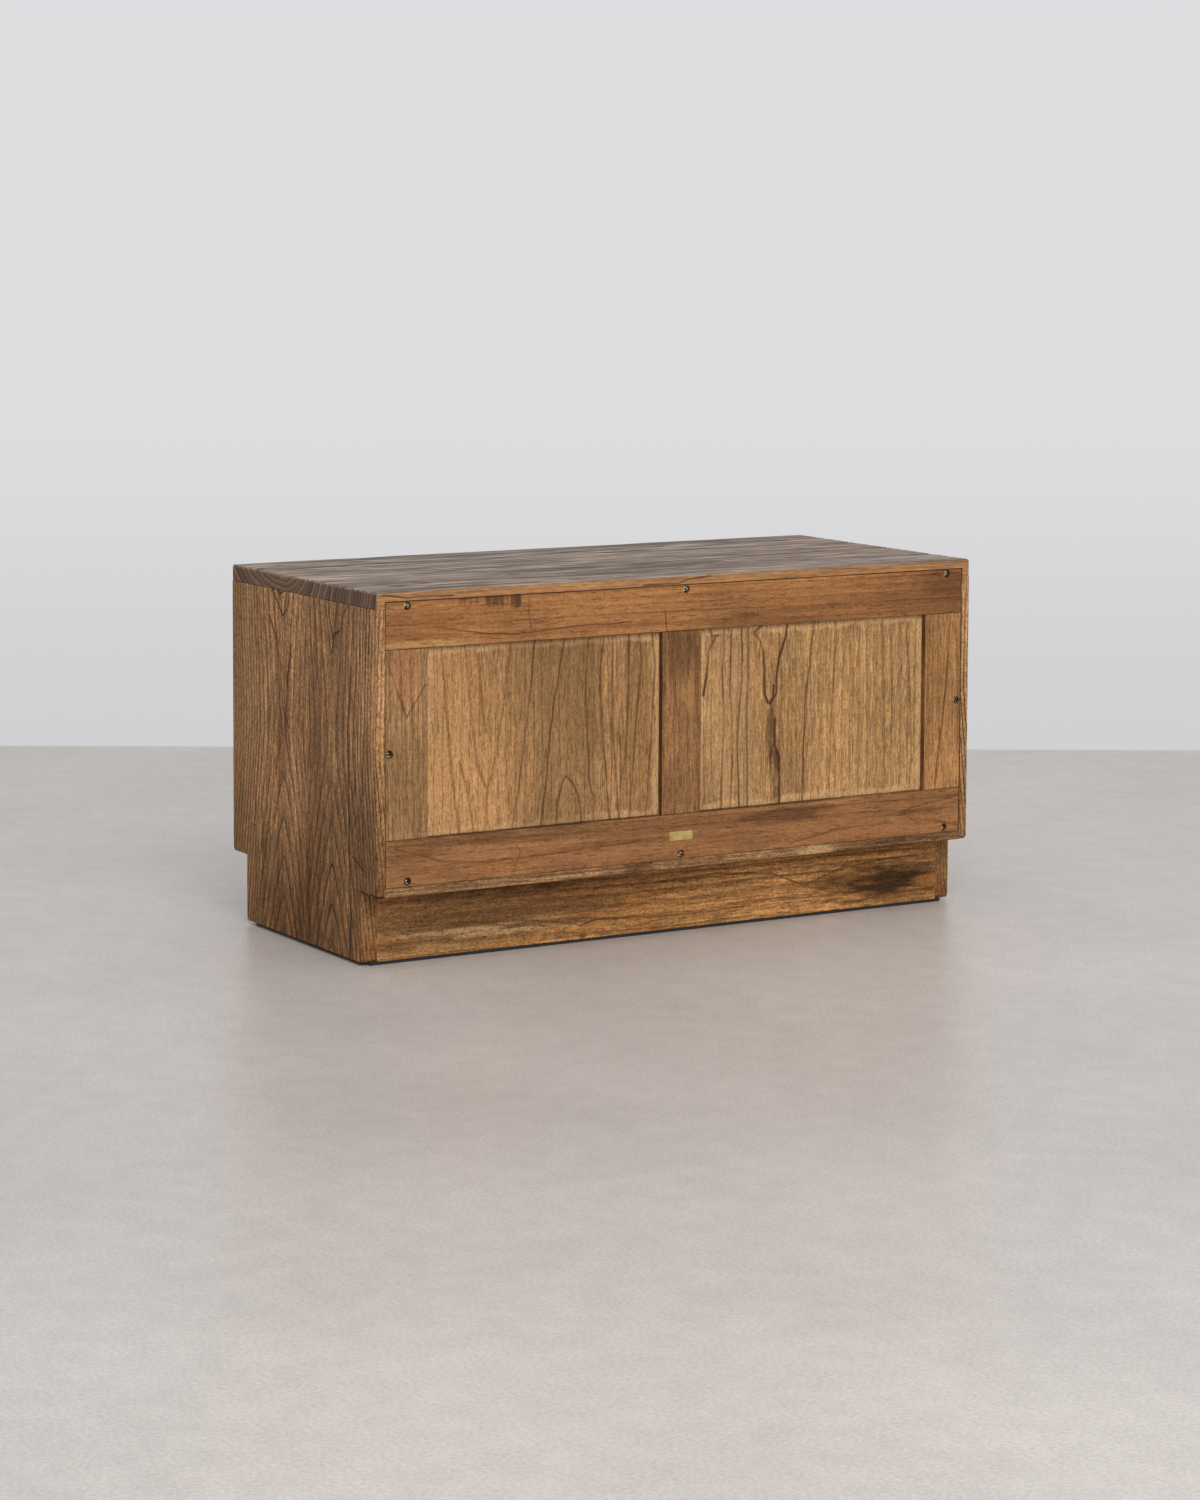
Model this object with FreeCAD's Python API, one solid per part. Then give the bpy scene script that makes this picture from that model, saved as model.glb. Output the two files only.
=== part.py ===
import FreeCAD, Part
import os

from FreeCAD import Vector

# A low wooden cabinet on a recessed plinth, with a frame-and-panel back that is
# screwed into rebates and two sliding doors that run in grooves at the front.
# Frame: +X to the right seen from the front, +Y to the back, +Z up, in millimetres.
# The origin is on the floor, under the middle of the cabinet.

# Overall size
WIDTH = 1000.0
DEPTH = 455.0
HEIGHT = 525.0

# Carcass boards
TOP_THICK = 24.0
SIDE_THICK = 24.0
BOTTOM_THICK = 24.0
EDGE_EASE = 1.5
FOOT_EASE = 4.0

# Plinth and the strips it stands on
PLINTH_HEIGHT = 97.0
PLINTH_THICK = 20.0
TOE_FRONT = 45.0
TOE_BACK = 45.0
BLOCK_SIZE = 30.0
BLOCK_HEIGHT = 80.0
GLIDE_HEIGHT = 5.0
GLIDE_WIDTH = 26.0
GLIDE_END_INSET = 14.0
GLIDE_FACE_INSET = 1.5

# Dowels
DOWEL_RADIUS = 4.0
DOWEL_CLEAR = 0.05
DOWEL_SHORT_END = 14.0
DOWEL_LONG_END = 26.0
DOWEL_HOLE_EXTRA = 1.0
TOP_DOWELS_PER_SIDE = 4
TOP_DOWEL_EDGE = 50.0
PLINTH_DOWELS_PER_JOINT = 2
PLINTH_DOWEL_EDGE = 26.0

# Back frame in its rebate
REBATE_WIDTH = 11.0
FRAME_THICK = 20.0
FRAME_SETBACK = 1.0
FRAME_GAP = 0.8
FRAME_MEMBER = 66.0
FRAME_PANEL_RECESS = 8.0
MULLION_SHIFT = 7.0

# Frame-and-panel joinery, shared by the back and the doors
PANEL_THICK = 7.0
PANEL_FACE_CLEAR = 0.1
PANEL_EDGE_CLEAR = 1.0
GROOVE_DEPTH = 8.0
TENON_LENGTH = 22.0
TENON_SHOULDER = 10.0
TENON_CLEAR = 0.1
MEMBER_EASE = 0.6

# Back screws
SCREW_RADIUS = 1.75
SCREW_LENGTH = 34.0
SCREW_TIP = 4.0
SCREW_HEAD_RADIUS = 4.5
SCREW_HEAD_THICK = 2.4
SCREW_HEAD_EASE = 0.8
SCREW_CROSS_LENGTH = 5.0
SCREW_CROSS_WIDTH = 1.5
SCREW_CROSS_DEPTH = 1.6
SCREW_HOLE_CLEAR = 0.4
SCREW_PILOT_CLEAR = 0.05
COUNTERBORE_CLEAR = 1.0
COUNTERBORE_DEPTH = 5.0
SCREW_WALL = 3.5
LEFT_SCREW_INSET = 41.0
RIGHT_SCREW_INSET = 48.5
RIGHT_SCREW_DROP = 12.0

# Bare brass plate on the back
PLATE_LENGTH = 39.0
PLATE_HEIGHT = 13.0
PLATE_THICK = 0.6
PLATE_CORNER = 1.0
PLATE_LIFT = 34.0
PIN_INSET = 2.5
PIN_RADIUS = 0.6
PIN_LENGTH = 7.0
PIN_CLEAR = 0.05
PIN_HEAD_RADIUS = 1.1
PIN_HEAD_THICK = 0.3

# Sliding doors
DOOR_THICK = 20.0
DOOR_SETBACK = 12.0
DOOR_SPACE = 4.0
DOOR_MEMBER = 44.0
DOOR_END_GAP = 1.0
DOOR_EDGE_GAP = 1.0
DOOR_PANEL_RECESS = 6.0
TONGUE_THICK = 8.0
TONGUE_CLEAR = 0.5
TONGUE_SEAT_CLEAR = 0.3
TOP_TRACK_DEPTH = 12.0
TOP_TONGUE_LIFT = 8.0
BOTTOM_TRACK_DEPTH = 4.0

# Flush finger cup in each door's outer stile
CUP_RADIUS = 14.5
CUP_WALL = 1.0
CUP_DEPTH = 9.0
CUP_FLANGE = 2.5
CUP_FLANGE_THICK = 1.2
CUP_CLEAR = 0.1

# Places that follow from the sizes above
X_OUT = WIDTH / 2
X_IN = X_OUT - SIDE_THICK
Y_BACK = DEPTH / 2
Y_FRONT = -DEPTH / 2
Z_FOOT = GLIDE_HEIGHT
Z_CARCASS = GLIDE_HEIGHT + PLINTH_HEIGHT
Z_FLOOR = Z_CARCASS + BOTTOM_THICK
Z_CEILING = HEIGHT - TOP_THICK
Y_PLINTH_BACK = Y_BACK - TOE_BACK
Y_PLINTH_FRONT = Y_FRONT + TOE_FRONT

X_REBATE = X_IN + REBATE_WIDTH
Y_REBATE = Y_BACK - FRAME_SETBACK - FRAME_THICK
Z_REBATE_LOW = Z_FLOOR - REBATE_WIDTH
Z_REBATE_HIGH = Z_CEILING + REBATE_WIDTH
Y_FRAME_FACE = Y_BACK - FRAME_SETBACK
X_FRAME = X_REBATE - FRAME_GAP
Z_FRAME_LOW = Z_REBATE_LOW
Z_FRAME_HIGH = Z_REBATE_HIGH - FRAME_GAP

DOOR_OPENING = 2 * X_IN - 2 * DOOR_END_GAP
DOOR_WIDTH = (DOOR_OPENING + DOOR_MEMBER) / 2
DOOR_PITCH = DOOR_THICK + DOOR_SPACE
Y_RIGHT_DOOR = Y_FRONT + DOOR_SETBACK
Y_LEFT_DOOR = Y_RIGHT_DOOR + DOOR_PITCH
Z_DOOR_LOW = Z_FLOOR + DOOR_EDGE_GAP
Z_DOOR_HIGH = Z_CEILING - DOOR_EDGE_GAP
Z_TONGUE_LOW = Z_FLOOR - BOTTOM_TRACK_DEPTH + TONGUE_SEAT_CLEAR
Z_TONGUE_HIGH = Z_CEILING + TOP_TONGUE_LIFT

X_AXIS = Vector(1, 0, 0)
Y_AXIS = Vector(0, 1, 0)
Z_AXIS = Vector(0, 0, 1)


def block(x, y, z):
    """Box between the (low, high) pairs x, y and z, each pair in either order."""
    lows = [min(pair) for pair in (x, y, z)]
    spans = [max(pair) - min(pair) for pair in (x, y, z)]
    return Part.makeBox(spans[0], spans[1], spans[2], Vector(*lows))


def rod(radius, length, start, axis):
    """Cylinder of the given length that leaves start along axis."""
    return Part.makeCylinder(radius, length, start, axis)


def eased(solid, ease):
    """The solid with all its edges rounded by ease."""
    return solid.makeFillet(ease, solid.Edges)


def upright_corners(solid, ease):
    """The solid with only its edges along Z rounded by ease."""
    upright = [edge for edge in solid.Edges if abs(edge.tangentAt(edge.FirstParameter).z) > 0.99]
    return solid.makeFillet(ease, upright)


def spread(count, low, high):
    """Evenly spaced values from low to high, both ends included."""
    step = (high - low) / (count - 1)
    return [low + step * index for index in range(count)]


def signs():
    """Left and right sides as signs along X."""
    return {"left": -1, "right": 1}


# Places of repeated fasteners

def top_dowel_places():
    """Feet of the top dowels on the joint between the side boards and the top."""
    rows = spread(TOP_DOWELS_PER_SIDE, Y_FRONT + TOP_DOWEL_EDGE, Y_BACK - TOP_DOWEL_EDGE)
    x = X_OUT - SIDE_THICK / 2
    return [Vector(sign * x, y, Z_CEILING) for sign in signs().values() for y in rows]


def plinth_dowel_places():
    """Feet of the plinth dowels on the inner faces of the side boards, with their outward sign."""
    heights = spread(PLINTH_DOWELS_PER_JOINT, Z_FOOT + PLINTH_DOWEL_EDGE, Z_CARCASS - PLINTH_DOWEL_EDGE)
    middles = (Y_PLINTH_FRONT + PLINTH_THICK / 2, Y_PLINTH_BACK - PLINTH_THICK / 2)
    return [
        (Vector(sign * X_IN, y, z), sign)
        for sign in signs().values()
        for y in middles
        for z in heights
    ]


def screw_places():
    """Axes of the back screws on the face of the back frame, driven by eye and so not quite even."""
    x_left = LEFT_SCREW_INSET - X_OUT
    x_right = X_OUT - RIGHT_SCREW_INSET
    x_side = X_IN + SCREW_WALL
    z_top = Z_CEILING + SCREW_WALL
    z_bottom = Z_FLOOR - SCREW_WALL
    z_middle = (Z_FRAME_LOW + Z_FRAME_HIGH) / 2
    places = [(x_left, z_top), (0.0, z_top), (x_right, z_top)]
    places += [(-x_side, z_middle), (x_side, z_middle - RIGHT_SCREW_DROP)]
    places += [(x_left, z_bottom), (MULLION_SHIFT, z_bottom), (x_right, z_bottom)]
    return [Vector(x, Y_FRAME_FACE, z) for x, z in places]


def top_dowel(place, clear):
    """One top dowel, grown by clear all round for its hole."""
    extra = DOWEL_HOLE_EXTRA if clear else 0.0
    start = place - Z_AXIS * (DOWEL_LONG_END + extra)
    return rod(DOWEL_RADIUS + clear, DOWEL_LONG_END + DOWEL_SHORT_END + 2 * extra, start, Z_AXIS)


def plinth_dowel(place, sign, clear):
    """One plinth dowel, grown by clear all round for its hole."""
    extra = DOWEL_HOLE_EXTRA if clear else 0.0
    outward = X_AXIS * sign
    start = place - outward * (DOWEL_LONG_END + extra)
    return rod(DOWEL_RADIUS + clear, DOWEL_LONG_END + DOWEL_SHORT_END + 2 * extra, start, outward)


def screw_head_seat(place):
    """Depth of the counterbore's floor under the frame's face, as a point on the screw's axis."""
    return place - Y_AXIS * COUNTERBORE_DEPTH


def screw_pilot(place):
    """Hole for the thread in the board that a screw bites into."""
    seat = screw_head_seat(place)
    return rod(SCREW_RADIUS + SCREW_PILOT_CLEAR, SCREW_LENGTH + SCREW_TIP, seat, -Y_AXIS)


def screw_passage(place):
    """Counterbore and clearance hole for a screw in the back frame."""
    bore = rod(SCREW_HEAD_RADIUS + COUNTERBORE_CLEAR, COUNTERBORE_DEPTH, place, -Y_AXIS)
    hole = rod(SCREW_RADIUS + SCREW_HOLE_CLEAR, FRAME_THICK, place, -Y_AXIS)
    return bore.fuse(hole)


def back_screw(place):
    """A pan-head screw with a cross recess, its head down in the counterbore."""
    seat = screw_head_seat(place)
    head = rod(SCREW_HEAD_RADIUS, SCREW_HEAD_THICK, seat, Y_AXIS)
    rim = [edge for edge in head.Edges if edge.BoundBox.YMin > seat.y + SCREW_HEAD_THICK / 2]
    head = head.makeFillet(SCREW_HEAD_EASE, rim)
    crown = seat.y + SCREW_HEAD_THICK
    long_half = SCREW_CROSS_LENGTH / 2
    short_half = SCREW_CROSS_WIDTH / 2
    depth = (crown - SCREW_CROSS_DEPTH, crown)
    for half_x, half_z in ((long_half, short_half), (short_half, long_half)):
        span_x = (seat.x - half_x, seat.x + half_x)
        span_z = (seat.z - half_z, seat.z + half_z)
        head = head.cut(block(span_x, depth, span_z))
    shank = rod(SCREW_RADIUS, SCREW_LENGTH - SCREW_TIP, seat, -Y_AXIS)
    tip_start = seat - Y_AXIS * (SCREW_LENGTH - SCREW_TIP)
    tip = Part.makeCone(SCREW_RADIUS, SCREW_RADIUS / 4, SCREW_TIP, tip_start, -Y_AXIS)
    return head.fuse([shank, tip]).removeSplitter()


# Door tracks

def track(y_door, z):
    """Groove for a door's tongue between the side boards, over the heights z."""
    middle = y_door + DOOR_THICK / 2
    half = TONGUE_THICK / 2 + TONGUE_CLEAR
    return block((-X_IN, X_IN), (middle - half, middle + half), z)


# Carcass

def top_board():
    """Top that lies on the sides, grooved for the doors and rebated for the back frame."""
    board = eased(block((-X_OUT, X_OUT), (Y_FRONT, Y_BACK), (Z_CEILING, HEIGHT)), EDGE_EASE)
    board = board.cut(block((-X_REBATE, X_REBATE), (Y_REBATE, Y_BACK), (Z_CEILING, Z_REBATE_HIGH)))
    for y_door in (Y_LEFT_DOOR, Y_RIGHT_DOOR):
        board = board.cut(track(y_door, (Z_CEILING, Z_CEILING + TOP_TRACK_DEPTH)))
    for place in top_dowel_places():
        board = board.cut(top_dowel(place, DOWEL_CLEAR))
    for place in screw_places():
        board = board.cut(screw_pilot(place))
    return board


def side_profile():
    """Outline of a side board in the YZ plane, notched at the floor in front and behind."""
    corners = [
        (Y_PLINTH_FRONT + FOOT_EASE, Z_FOOT),
        (Y_PLINTH_BACK - FOOT_EASE, Z_FOOT),
        (Y_PLINTH_BACK, Z_FOOT + FOOT_EASE),
        (Y_PLINTH_BACK, Z_CARCASS),
        (Y_BACK - FOOT_EASE, Z_CARCASS),
        (Y_BACK, Z_CARCASS + FOOT_EASE),
        (Y_BACK, Z_CEILING),
        (Y_FRONT, Z_CEILING),
        (Y_FRONT, Z_CARCASS + FOOT_EASE),
        (Y_FRONT + FOOT_EASE, Z_CARCASS),
        (Y_PLINTH_FRONT, Z_CARCASS),
        (Y_PLINTH_FRONT, Z_FOOT + FOOT_EASE),
    ]
    points = [Vector(0, y, z) for y, z in corners]
    return Part.Face(Part.makePolygon(points + points[:1]))


def side_board(sign):
    """Side that runs to the floor, housed for the bottom board and rebated for the back frame."""
    board = side_profile().extrude(X_AXIS * SIDE_THICK)
    outer = [edge for edge in board.Edges if edge.BoundBox.XMin > SIDE_THICK / 2]
    board = board.makeFillet(EDGE_EASE, outer)
    board.translate(X_AXIS * X_IN)
    board = board.cut(block((X_IN, X_REBATE), (Y_FRONT, Y_BACK), (Z_CARCASS, Z_FLOOR)))
    board = board.cut(block((X_IN, X_REBATE), (Y_REBATE, Y_BACK), (Z_FLOOR, Z_CEILING)))
    if sign < 0:
        board = board.mirror(Vector(0, 0, 0), X_AXIS)
    for place in top_dowel_places():
        board = board.cut(top_dowel(place, DOWEL_CLEAR))
    for place, outward in plinth_dowel_places():
        board = board.cut(plinth_dowel(place, outward, DOWEL_CLEAR))
    for place in screw_places():
        board = board.cut(screw_pilot(place))
    return board


def bottom_board():
    """Bottom housed in the sides, grooved for the doors and rebated for the back frame."""
    board = block((-X_REBATE, X_REBATE), (Y_FRONT, Y_BACK), (Z_CARCASS, Z_FLOOR))
    long_edges = [
        edge
        for edge in board.Edges
        if abs(edge.tangentAt(edge.FirstParameter).x) > 0.99 and edge.BoundBox.ZMax < Z_FLOOR - EDGE_EASE
    ]
    board = board.makeFillet(EDGE_EASE, long_edges)
    board = board.cut(block((-X_REBATE, X_REBATE), (Y_REBATE, Y_BACK), (Z_REBATE_LOW, Z_FLOOR)))
    for y_door in (Y_LEFT_DOOR, Y_RIGHT_DOOR):
        board = board.cut(track(y_door, (Z_FLOOR - BOTTOM_TRACK_DEPTH, Z_FLOOR)))
    for place in screw_places():
        board = board.cut(screw_pilot(place))
    return board


def plinth_board(y):
    """Plinth board between the sides, over the depths y."""
    board = block((-X_IN, X_IN), y, (Z_FOOT, Z_CARCASS))
    for place, outward in plinth_dowel_places():
        board = board.cut(plinth_dowel(place, outward, DOWEL_CLEAR))
    return board


def glue_blocks():
    """Four blocks in the corners between the plinth boards, the sides and the bottom."""
    inner_faces = ((Y_PLINTH_FRONT + PLINTH_THICK, 1), (Y_PLINTH_BACK - PLINTH_THICK, -1))
    blocks = []
    for sign in signs().values():
        for y, inward in inner_faces:
            span_x = (sign * X_IN, sign * (X_IN - BLOCK_SIZE))
            span_y = (y, y + inward * BLOCK_SIZE)
            blocks.append(block(span_x, span_y, (Z_CARCASS - BLOCK_HEIGHT, Z_CARCASS)))
    return blocks


def glide_strip(y_face, inward):
    """Black strip under a plinth board, set in from its face and from the cabinet's sides."""
    start = y_face + inward * GLIDE_FACE_INSET
    half = X_OUT - GLIDE_END_INSET
    return block((-half, half), (start, start + inward * GLIDE_WIDTH), (0, Z_FOOT))


# Frame-and-panel work

def groove_span(y_show, inward, recess):
    """Depths of the panel groove in a frame whose show face is at y_show."""
    start = y_show + inward * (recess - PANEL_FACE_CLEAR)
    return (start, start + inward * (PANEL_THICK + 2 * PANEL_FACE_CLEAR))


def frame_rail(x, y, z, groove_y, groove_up, stile_spans):
    """Rail with a stopped panel groove in its inner edge and a mortise for each stile."""
    rail = eased(block(x, y, z), MEMBER_EASE)
    edge = max(z) if groove_up else min(z)
    into = -1 if groove_up else 1
    groove_x = (stile_spans[0][0] + TENON_SHOULDER, stile_spans[-1][1] - TENON_SHOULDER)
    rail = rail.cut(block(groove_x, groove_y, (edge, edge + into * GROOVE_DEPTH)))
    for low, high in stile_spans:
        span = (low + TENON_SHOULDER - TENON_CLEAR, high - TENON_SHOULDER + TENON_CLEAR)
        depth = TENON_LENGTH + PANEL_EDGE_CLEAR
        rail = rail.cut(block(span, groove_y, (edge, edge + into * depth)))
    return rail


def frame_stile(x, y, z, groove_y, groove_sides):
    """Upright between the rails, with a tenon at each end and panel grooves on the given sides."""
    low, high = x
    stile = upright_corners(block(x, y, z), MEMBER_EASE)
    for side in groove_sides:
        edge = high if side > 0 else low
        stile = stile.cut(block((edge, edge - side * GROOVE_DEPTH), groove_y, z))
    thin = (min(groove_y) + PANEL_FACE_CLEAR, max(groove_y) - PANEL_FACE_CLEAR)
    width = (low + TENON_SHOULDER, high - TENON_SHOULDER)
    tenon = block(width, thin, (min(z) - TENON_LENGTH, max(z) + TENON_LENGTH))
    return stile.fuse(tenon).removeSplitter()


def frame_panel(x, z, groove_y):
    """Flat panel held in the grooves round an opening of the given width and height."""
    reach = GROOVE_DEPTH - PANEL_EDGE_CLEAR
    span_x = (x[0] - reach, x[1] + reach)
    span_y = (min(groove_y) + PANEL_FACE_CLEAR, max(groove_y) - PANEL_FACE_CLEAR)
    span_z = (z[0] - reach, z[1] + reach)
    return block(span_x, span_y, span_z)


def back_frame():
    """Back frame as named pieces: two rails, two stiles, a mullion and two panels."""
    y = (Y_REBATE, Y_FRAME_FACE)
    groove_y = groove_span(Y_FRAME_FACE, -1, FRAME_PANEL_RECESS)
    opening_z = (Z_FRAME_LOW + FRAME_MEMBER, Z_FRAME_HIGH - FRAME_MEMBER)
    left = (-X_FRAME, -X_FRAME + FRAME_MEMBER)
    right = (X_FRAME - FRAME_MEMBER, X_FRAME)
    middle = (MULLION_SHIFT - FRAME_MEMBER / 2, MULLION_SHIFT + FRAME_MEMBER / 2)
    span = (-X_FRAME, X_FRAME)
    uprights = (left, middle, right)
    top_z = (opening_z[1], Z_FRAME_HIGH)
    bottom_z = (Z_FRAME_LOW, opening_z[0])
    pieces = {
        "back_top_rail": frame_rail(span, y, top_z, groove_y, False, uprights),
        "back_bottom_rail": frame_rail(span, y, bottom_z, groove_y, True, uprights),
        "back_stile_left": frame_stile(left, y, opening_z, groove_y, (1,)),
        "back_stile_right": frame_stile(right, y, opening_z, groove_y, (-1,)),
        "back_mullion": frame_stile(middle, y, opening_z, groove_y, (-1, 1)),
        "back_panel_left": frame_panel((left[1], middle[0]), opening_z, groove_y),
        "back_panel_right": frame_panel((middle[1], right[0]), opening_z, groove_y),
    }
    for name in ("back_top_rail", "back_bottom_rail", "back_stile_left", "back_stile_right"):
        for place in screw_places():
            pieces[name] = pieces[name].cut(screw_passage(place))
    for place in plate_pin_places():
        pieces["back_bottom_rail"] = pieces["back_bottom_rail"].cut(plate_pin_shank(place, PIN_CLEAR))
    return pieces


# Brass plate

def plate_pin_places():
    """Points on the back frame's face where the plate's pins go in."""
    z = Z_FRAME_LOW + PLATE_LIFT
    reach = PLATE_LENGTH / 2 - PIN_INSET
    return [Vector(MULLION_SHIFT + side * reach, Y_FRAME_FACE, z) for side in (-1, 1)]


def plate_pin_shank(place, clear):
    """Shank of a plate pin through the plate and into the rail, grown by clear for its hole."""
    start = place + Y_AXIS * PLATE_THICK
    return rod(PIN_RADIUS + clear, PIN_LENGTH + clear, start, -Y_AXIS)


def brass_plate():
    """Bare plate with rounded corners, pinned to the bottom rail of the back frame."""
    z = Z_FRAME_LOW + PLATE_LIFT
    span_x = (MULLION_SHIFT - PLATE_LENGTH / 2, MULLION_SHIFT + PLATE_LENGTH / 2)
    span_y = (Y_FRAME_FACE, Y_FRAME_FACE + PLATE_THICK)
    plate = block(span_x, span_y, (z - PLATE_HEIGHT / 2, z + PLATE_HEIGHT / 2))
    corners = [edge for edge in plate.Edges if abs(edge.tangentAt(edge.FirstParameter).y) > 0.99]
    plate = plate.makeFillet(PLATE_CORNER, corners)
    for place in plate_pin_places():
        plate = plate.cut(plate_pin_shank(place, PIN_CLEAR))
    return plate


def plate_pins():
    """The two round-headed pins that hold the plate."""
    pins = []
    for place in plate_pin_places():
        head = rod(PIN_HEAD_RADIUS, PIN_HEAD_THICK, place + Y_AXIS * PLATE_THICK, Y_AXIS)
        pins.append(head.fuse(plate_pin_shank(place, 0.0)).removeSplitter())
    return pins


# Sliding doors

def cup_outline(cavity_only):
    """Half section of a finger cup in the XZ plane: radius along X, depth along -Z."""
    flange = CUP_RADIUS + CUP_FLANGE
    inner = CUP_RADIUS - CUP_WALL
    if cavity_only:
        radius = CUP_RADIUS + CUP_CLEAR
        step = CUP_FLANGE_THICK + CUP_CLEAR
        floor = CUP_DEPTH + CUP_CLEAR
        corners = [(0, 0), (flange + CUP_CLEAR, 0), (flange + CUP_CLEAR, -step), (radius, -step)]
        corners += [(radius, -floor), (0, -floor)]
    else:
        corners = [(inner, 0), (flange, 0), (flange, -CUP_FLANGE_THICK), (CUP_RADIUS, -CUP_FLANGE_THICK)]
        corners += [(CUP_RADIUS, -CUP_DEPTH), (0, -CUP_DEPTH), (0, -CUP_DEPTH + CUP_WALL)]
        corners += [(inner, -CUP_DEPTH + CUP_WALL)]
    return [Vector(radius, 0, depth) for radius, depth in corners]


def cup_solid(place, cavity_only):
    """Finger cup, or the recess for it, with its mouth at place and opening to the front."""
    points = cup_outline(cavity_only)
    face = Part.Face(Part.makePolygon(points + points[:1]))
    cup = face.revolve(Vector(0, 0, 0), Z_AXIS, 360)
    cup.rotate(Vector(0, 0, 0), X_AXIS, 90)
    cup.translate(place)
    return cup


def door(side, y_front):
    """One sliding door as named pieces, at its closed place on the given side."""
    sign = signs()[side]
    closed_edge = sign * (X_IN - DOOR_END_GAP)
    span = tuple(sorted((closed_edge, closed_edge - sign * DOOR_WIDTH)))
    y = (y_front, y_front + DOOR_THICK)
    groove_y = groove_span(y_front, 1, DOOR_PANEL_RECESS)
    opening_z = (Z_DOOR_LOW + DOOR_MEMBER, Z_DOOR_HIGH - DOOR_MEMBER)
    low_stile = (span[0], span[0] + DOOR_MEMBER)
    high_stile = (span[1] - DOOR_MEMBER, span[1])
    uprights = (low_stile, high_stile)
    tongue_y = (y_front + (DOOR_THICK - TONGUE_THICK) / 2, y_front + (DOOR_THICK + TONGUE_THICK) / 2)
    top_rail = frame_rail(span, y, (opening_z[1], Z_DOOR_HIGH), groove_y, False, uprights)
    bottom_rail = frame_rail(span, y, (Z_DOOR_LOW, opening_z[0]), groove_y, True, uprights)
    root = MEMBER_EASE
    tongue_x = (span[0] + root, span[1] - root)
    top_tongue = block(tongue_x, tongue_y, (Z_DOOR_HIGH - root, Z_TONGUE_HIGH))
    bottom_tongue = block(tongue_x, tongue_y, (Z_DOOR_LOW + root, Z_TONGUE_LOW))
    low = frame_stile(low_stile, y, opening_z, groove_y, (1,))
    high = frame_stile(high_stile, y, opening_z, groove_y, (-1,))
    outer, inner = (high, low) if sign > 0 else (low, high)
    outer_span = high_stile if sign > 0 else low_stile
    cup_place = Vector(sum(outer_span) / 2, y_front, sum(opening_z) / 2)
    prefix = "door_" + side
    return {
        prefix + "_top_rail": top_rail.fuse(top_tongue).removeSplitter(),
        prefix + "_bottom_rail": bottom_rail.fuse(bottom_tongue).removeSplitter(),
        prefix + "_outer_stile": outer.cut(cup_solid(cup_place, True)),
        prefix + "_inner_stile": inner,
        prefix + "_panel": frame_panel((low_stile[1], high_stile[0]), opening_z, groove_y),
        prefix + "_finger_cup": cup_solid(cup_place, False),
    }


# The whole cabinet

def cabinet():
    """Every piece of the cabinet by its node name."""
    pieces = {"top_board": top_board(), "bottom_board": bottom_board()}
    for side, sign in signs().items():
        pieces["side_board_" + side] = side_board(sign)
    pieces["plinth_front"] = plinth_board((Y_PLINTH_FRONT, Y_PLINTH_FRONT + PLINTH_THICK))
    pieces["plinth_back"] = plinth_board((Y_PLINTH_BACK - PLINTH_THICK, Y_PLINTH_BACK))
    pieces["plinth_glue_blocks"] = Part.makeCompound(glue_blocks())
    pieces["glide_strip_front"] = glide_strip(Y_PLINTH_FRONT, 1)
    pieces["glide_strip_back"] = glide_strip(Y_PLINTH_BACK, -1)
    pieces["top_dowels"] = Part.makeCompound([top_dowel(place, 0.0) for place in top_dowel_places()])
    plinth_dowels = [plinth_dowel(place, sign, 0.0) for place, sign in plinth_dowel_places()]
    pieces["plinth_dowels"] = Part.makeCompound(plinth_dowels)
    pieces.update(back_frame())
    pieces["back_screws"] = Part.makeCompound([back_screw(place) for place in screw_places()])
    pieces["brass_plate"] = brass_plate()
    pieces["plate_pins"] = Part.makeCompound(plate_pins())
    pieces.update(door("left", Y_LEFT_DOOR))
    pieces.update(door("right", Y_RIGHT_DOOR))
    return pieces


os.makedirs("parts", exist_ok=True)
for name, shape in cabinet().items():
    shape.exportStep("parts/" + name + ".step")
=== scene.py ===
import logging
import math
from dataclasses import dataclass, replace
from enum import Enum
from typing import Iterable, Optional, Union

import bmesh
import bpy
from mathutils import Matrix, Vector, noise


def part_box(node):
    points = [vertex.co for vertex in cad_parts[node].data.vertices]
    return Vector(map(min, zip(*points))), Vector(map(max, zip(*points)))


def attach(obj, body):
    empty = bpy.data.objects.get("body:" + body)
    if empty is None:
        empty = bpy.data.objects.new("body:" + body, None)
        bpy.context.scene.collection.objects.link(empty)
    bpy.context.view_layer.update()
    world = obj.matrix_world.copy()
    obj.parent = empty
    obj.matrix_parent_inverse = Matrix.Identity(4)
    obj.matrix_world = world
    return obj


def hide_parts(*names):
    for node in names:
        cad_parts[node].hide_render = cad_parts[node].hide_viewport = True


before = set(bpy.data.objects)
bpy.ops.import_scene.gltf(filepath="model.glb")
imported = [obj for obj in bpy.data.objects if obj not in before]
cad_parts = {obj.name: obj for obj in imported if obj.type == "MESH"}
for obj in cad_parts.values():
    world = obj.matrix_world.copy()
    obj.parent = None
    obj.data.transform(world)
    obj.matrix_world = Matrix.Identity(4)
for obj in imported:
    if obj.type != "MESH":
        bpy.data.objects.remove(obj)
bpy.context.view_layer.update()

LOG = logging.getLogger("low_cabinet")
BRUSH_DEPTH = "brush_depth"
MM_IN_METRE = 1000.0
OVERCUT = 0.01

Colour = tuple[float, float, float, float]
Socket = bpy.types.NodeSocket
Value = Union[float, Socket, "Number"]
Paint = Union[Colour, Socket]
Span = tuple[float, float]
Triple = tuple[float, float, float]
Ramp = tuple[float, float, float, float]
Box = tuple[Vector, Vector]
Line = tuple[Span, ...]


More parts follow.
